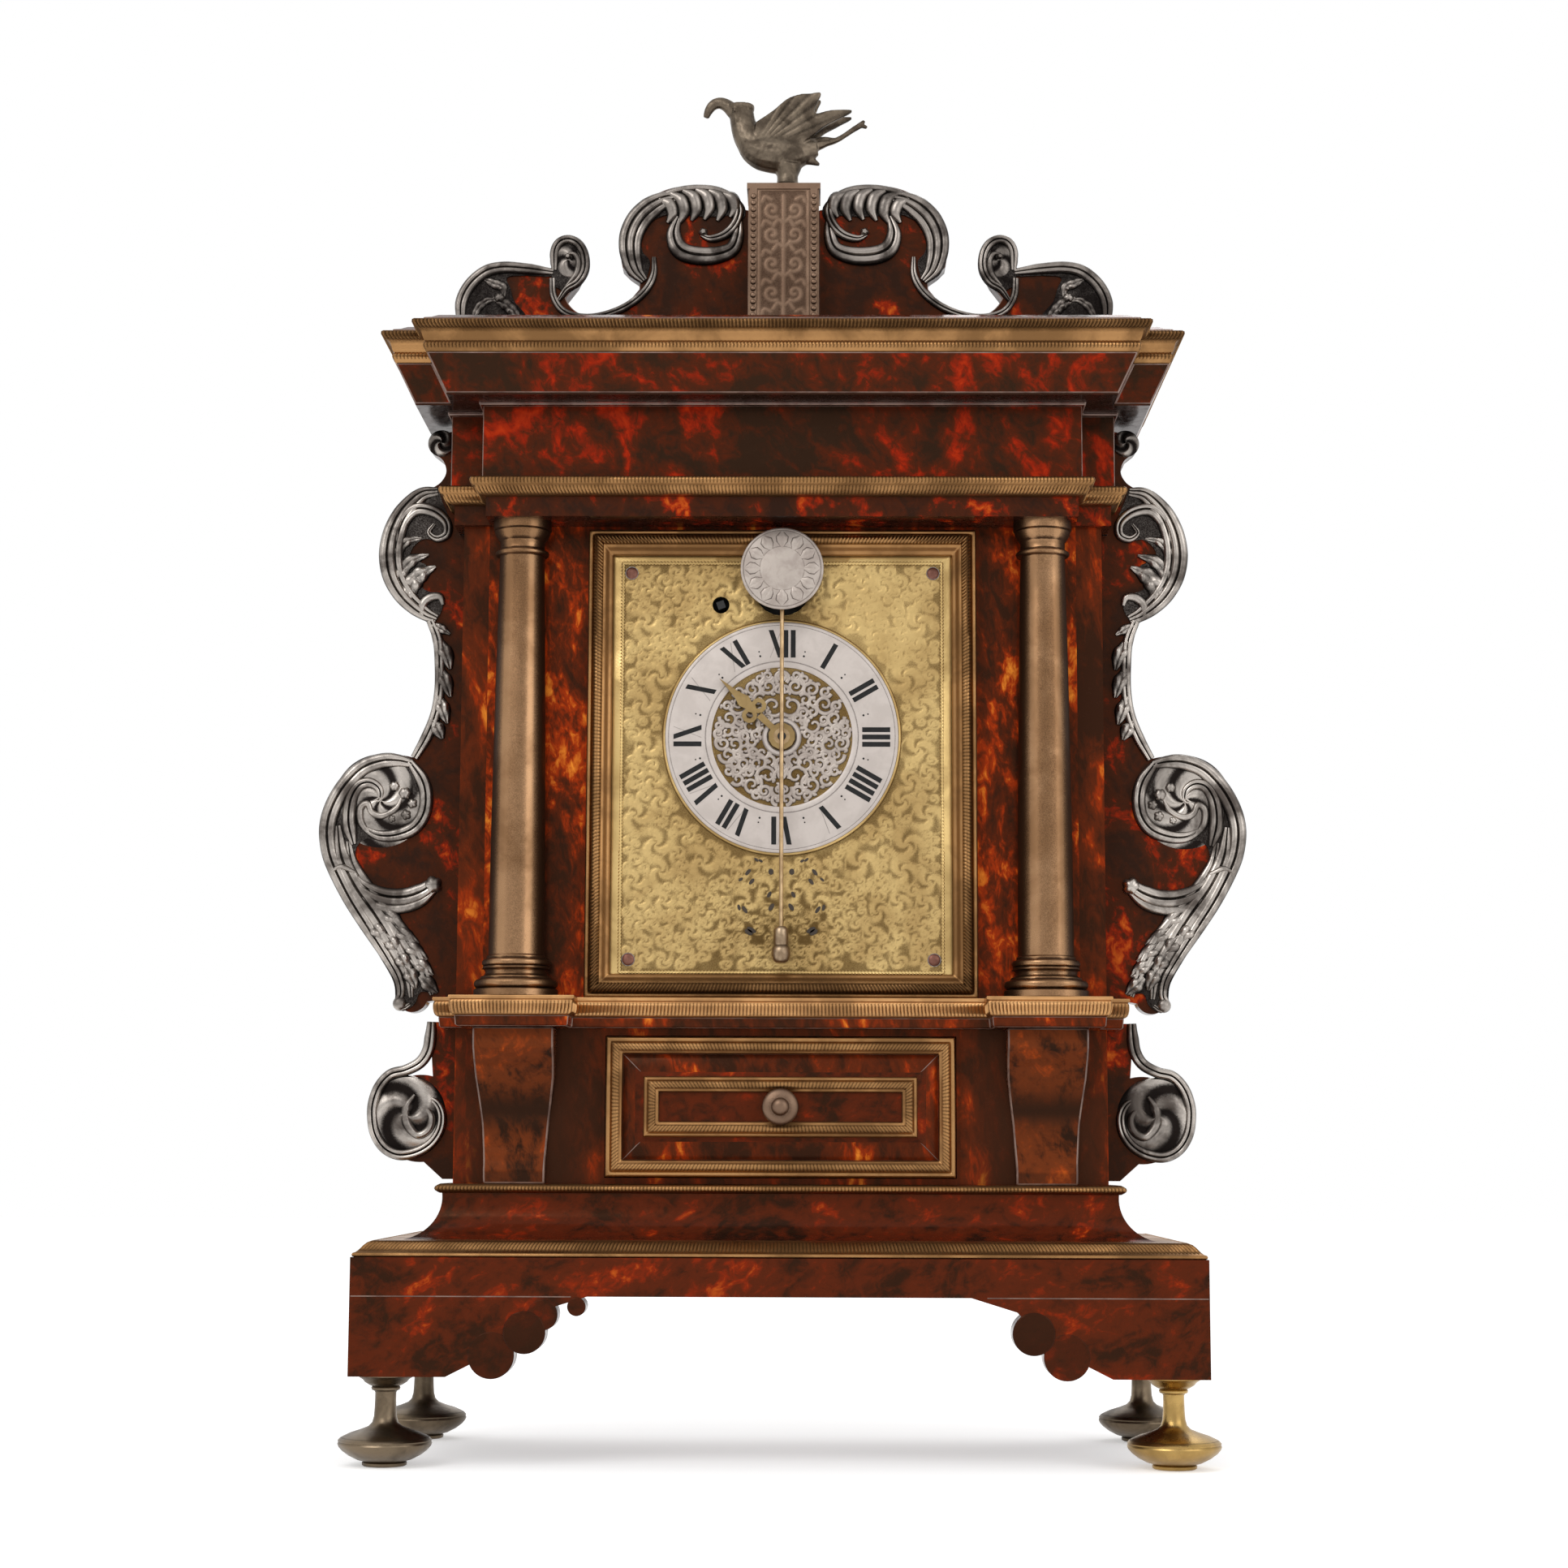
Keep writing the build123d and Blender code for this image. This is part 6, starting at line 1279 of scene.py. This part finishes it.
# smooth lobes and dark roundels on the brackets, and the joint under the rail
lobes = {"front": -64.5, "board": 12, "proud": 0.12, "joint": (76, 156.6, 62.25, 62.65),
         "right": [(104.9, 41.3, 8.5), (92.9, 49.6, 7.8)],
         "left": [(-104.9, 41.3, 8.5), (-92.9, 49.6, 7.8), (-86.3, 55.9, 5.6), (-73.9, 58.9, 3.4)]}
for side, label in sides:
    for index, (x, z, r) in enumerate(lobes[label]):
        edge = arcPoints((x, z), r, 0, 352.5, 47)
        shape = extruded(edge, lobes["front"] - lobes["proud"],
                         lobes["front"] + lobes["board"] + lobes["proud"])
        shape = shaded(moved(shape, 0, -0.04 * index), 0.55)
        softenEdges(addPiece("bracket_lobe_" + label + "_" + str(index), shape, "shellPlinth"), 0.3)
    x, z, r = lobes[label][1]
    rim = [(r - 0.1, 0), (r - 0.1, 0.3), (r - 0.4, 0.5), (r - 0.9, 0.45, 0.4), (1, 0.45)]
    points, faces, marks = lathed(rim, (x, lobes["front"], z), "y", 48)
    addPiece("bracket_roundel_" + label, (points, faces, marks * 0.1 + 0.88), "shellPlinth")
    inner, outer, foot, top = lobes["joint"]
    low, high = sorted((side * inner, side * outer))
    joint = [(low, foot), (high, foot), (high, top), (low, top)]
    addPiece("rail_joint_" + label, extruded(joint, lobes["front"] - 0.06, lobes["front"] + 0.5),
             "shellEdge")

# what is left is the movement
for node, piece in nodes.items():
    slots = [material.name for material in piece.data.materials if material]
    if piece.hide_render or any(name in looks for name in slots):
        continue
    brass = any(word in node for word in ("wheel", "plate", "barrel", "pillar", "potence", "button"))
    dress(node, "movementBrass" if brass else "steel", 0.12)
    print("movement finish:", node)

# floor, light and camera
studio = {"ambient": 0.72, "floorGlow": 0.42, "aim": (0.0, 0.0, 0.26),
          "lamps": {"key": (9.0, 0.9, (-0.75, -1.2, 1.25)), "fill": (5.0, 1.1, (1.1, -1.1, 0.8)),
                    "rim": (4.0, 0.8, (0.2, 0.9, 1.3))}}


def cameraSees(tree):
    ray = tree.nodes.new("ShaderNodeLightPath").outputs
    seen = sums(tree, "MAXIMUM", ray["Is Camera Ray"], ray["Is Glossy Ray"])
    return sums(tree, "MAXIMUM", seen, ray["Is Transmission Ray"])


scene = bpy.context.scene
scene.view_settings.view_transform = "Standard"
world = bpy.data.worlds.new("studio")
scene.world = world
world.use_nodes = True
tree = world.node_tree
tree.nodes.clear()
strength = spread(tree, cameraSees(tree), 0.0, 1.0, studio["ambient"], 1.0, "LINEAR")
backdrop = addNode(tree, "ShaderNodeBackground", {"Color": (1, 1, 1, 1), "Strength": strength})
tree.links.new(backdrop.outputs[0], addNode(tree, "ShaderNodeOutputWorld").inputs[0])

floorMesh = bpy.data.meshes.new("floor")
floorMesh.from_pydata([(-4, -4, 0), (4, -4, 0), (4, 4, 0), (-4, 4, 0)], [], [(0, 1, 2, 3)])
floorPiece = bpy.data.objects.new("floor", floorMesh)
scene.collection.objects.link(floorPiece)
paper = bpy.data.materials.new("paper")
paper.use_nodes = True
tree = paper.node_tree
surface = tree.nodes["Principled BSDF"]
for key, value in (("Base Color", (0.9, 0.9, 0.9, 1)), ("Roughness", 0.9), ("Specular IOR Level", 0.0),
                   ("Emission Color", (1, 1, 1, 1))):
    surface.inputs[key].default_value = value
tree.links.new(sums(tree, "MULTIPLY", cameraSees(tree), studio["floorGlow"]),
               surface.inputs["Emission Strength"])
floorMesh.materials.append(paper)

for name, (power, size, spot) in studio["lamps"].items():
    lamp = bpy.data.lights.new(name, "AREA")
    lamp.energy = power
    lamp.size = size
    lampPiece = bpy.data.objects.new(name, lamp)
    lampPiece.location = spot
    lampPiece.rotation_euler = (Vector(studio["aim"]) - Vector(spot)).to_track_quat("-Z", "Y").to_euler()
    scene.collection.objects.link(lampPiece)

shot = {"place": (12.45, -1121.42, 113.70), "focal": 3518.57, "pixels": 1932, "pitch": 0.129516,
        "yaw": -0.010593, "roll": 0.0032242, "sensor": 36.0}
pitch, yaw, roll = shot["pitch"], shot["yaw"], shot["roll"]
forward = Vector((math.sin(yaw) * math.cos(pitch), math.cos(yaw) * math.cos(pitch), math.sin(pitch)))
right = Vector((math.cos(yaw), -math.sin(yaw), 0.0))
upward = right.cross(forward)
rightRolled = right * math.cos(roll) + upward * math.sin(roll)
upRolled = upward * math.cos(roll) - right * math.sin(roll)
camera = bpy.data.cameras.new("camera")
camera.sensor_width = shot["sensor"]
camera.lens = shot["focal"] * shot["sensor"] / shot["pixels"]
camera.clip_start = 0.01
cameraPiece = bpy.data.objects.new("camera", camera)
turn = Matrix((rightRolled, upRolled, -forward)).transposed().to_4x4()
cameraPiece.matrix_world = Matrix.Translation(Vector(shot["place"]) * mm) @ turn
scene.collection.objects.link(cameraPiece)
scene.camera = cameraPiece
print("studio set")
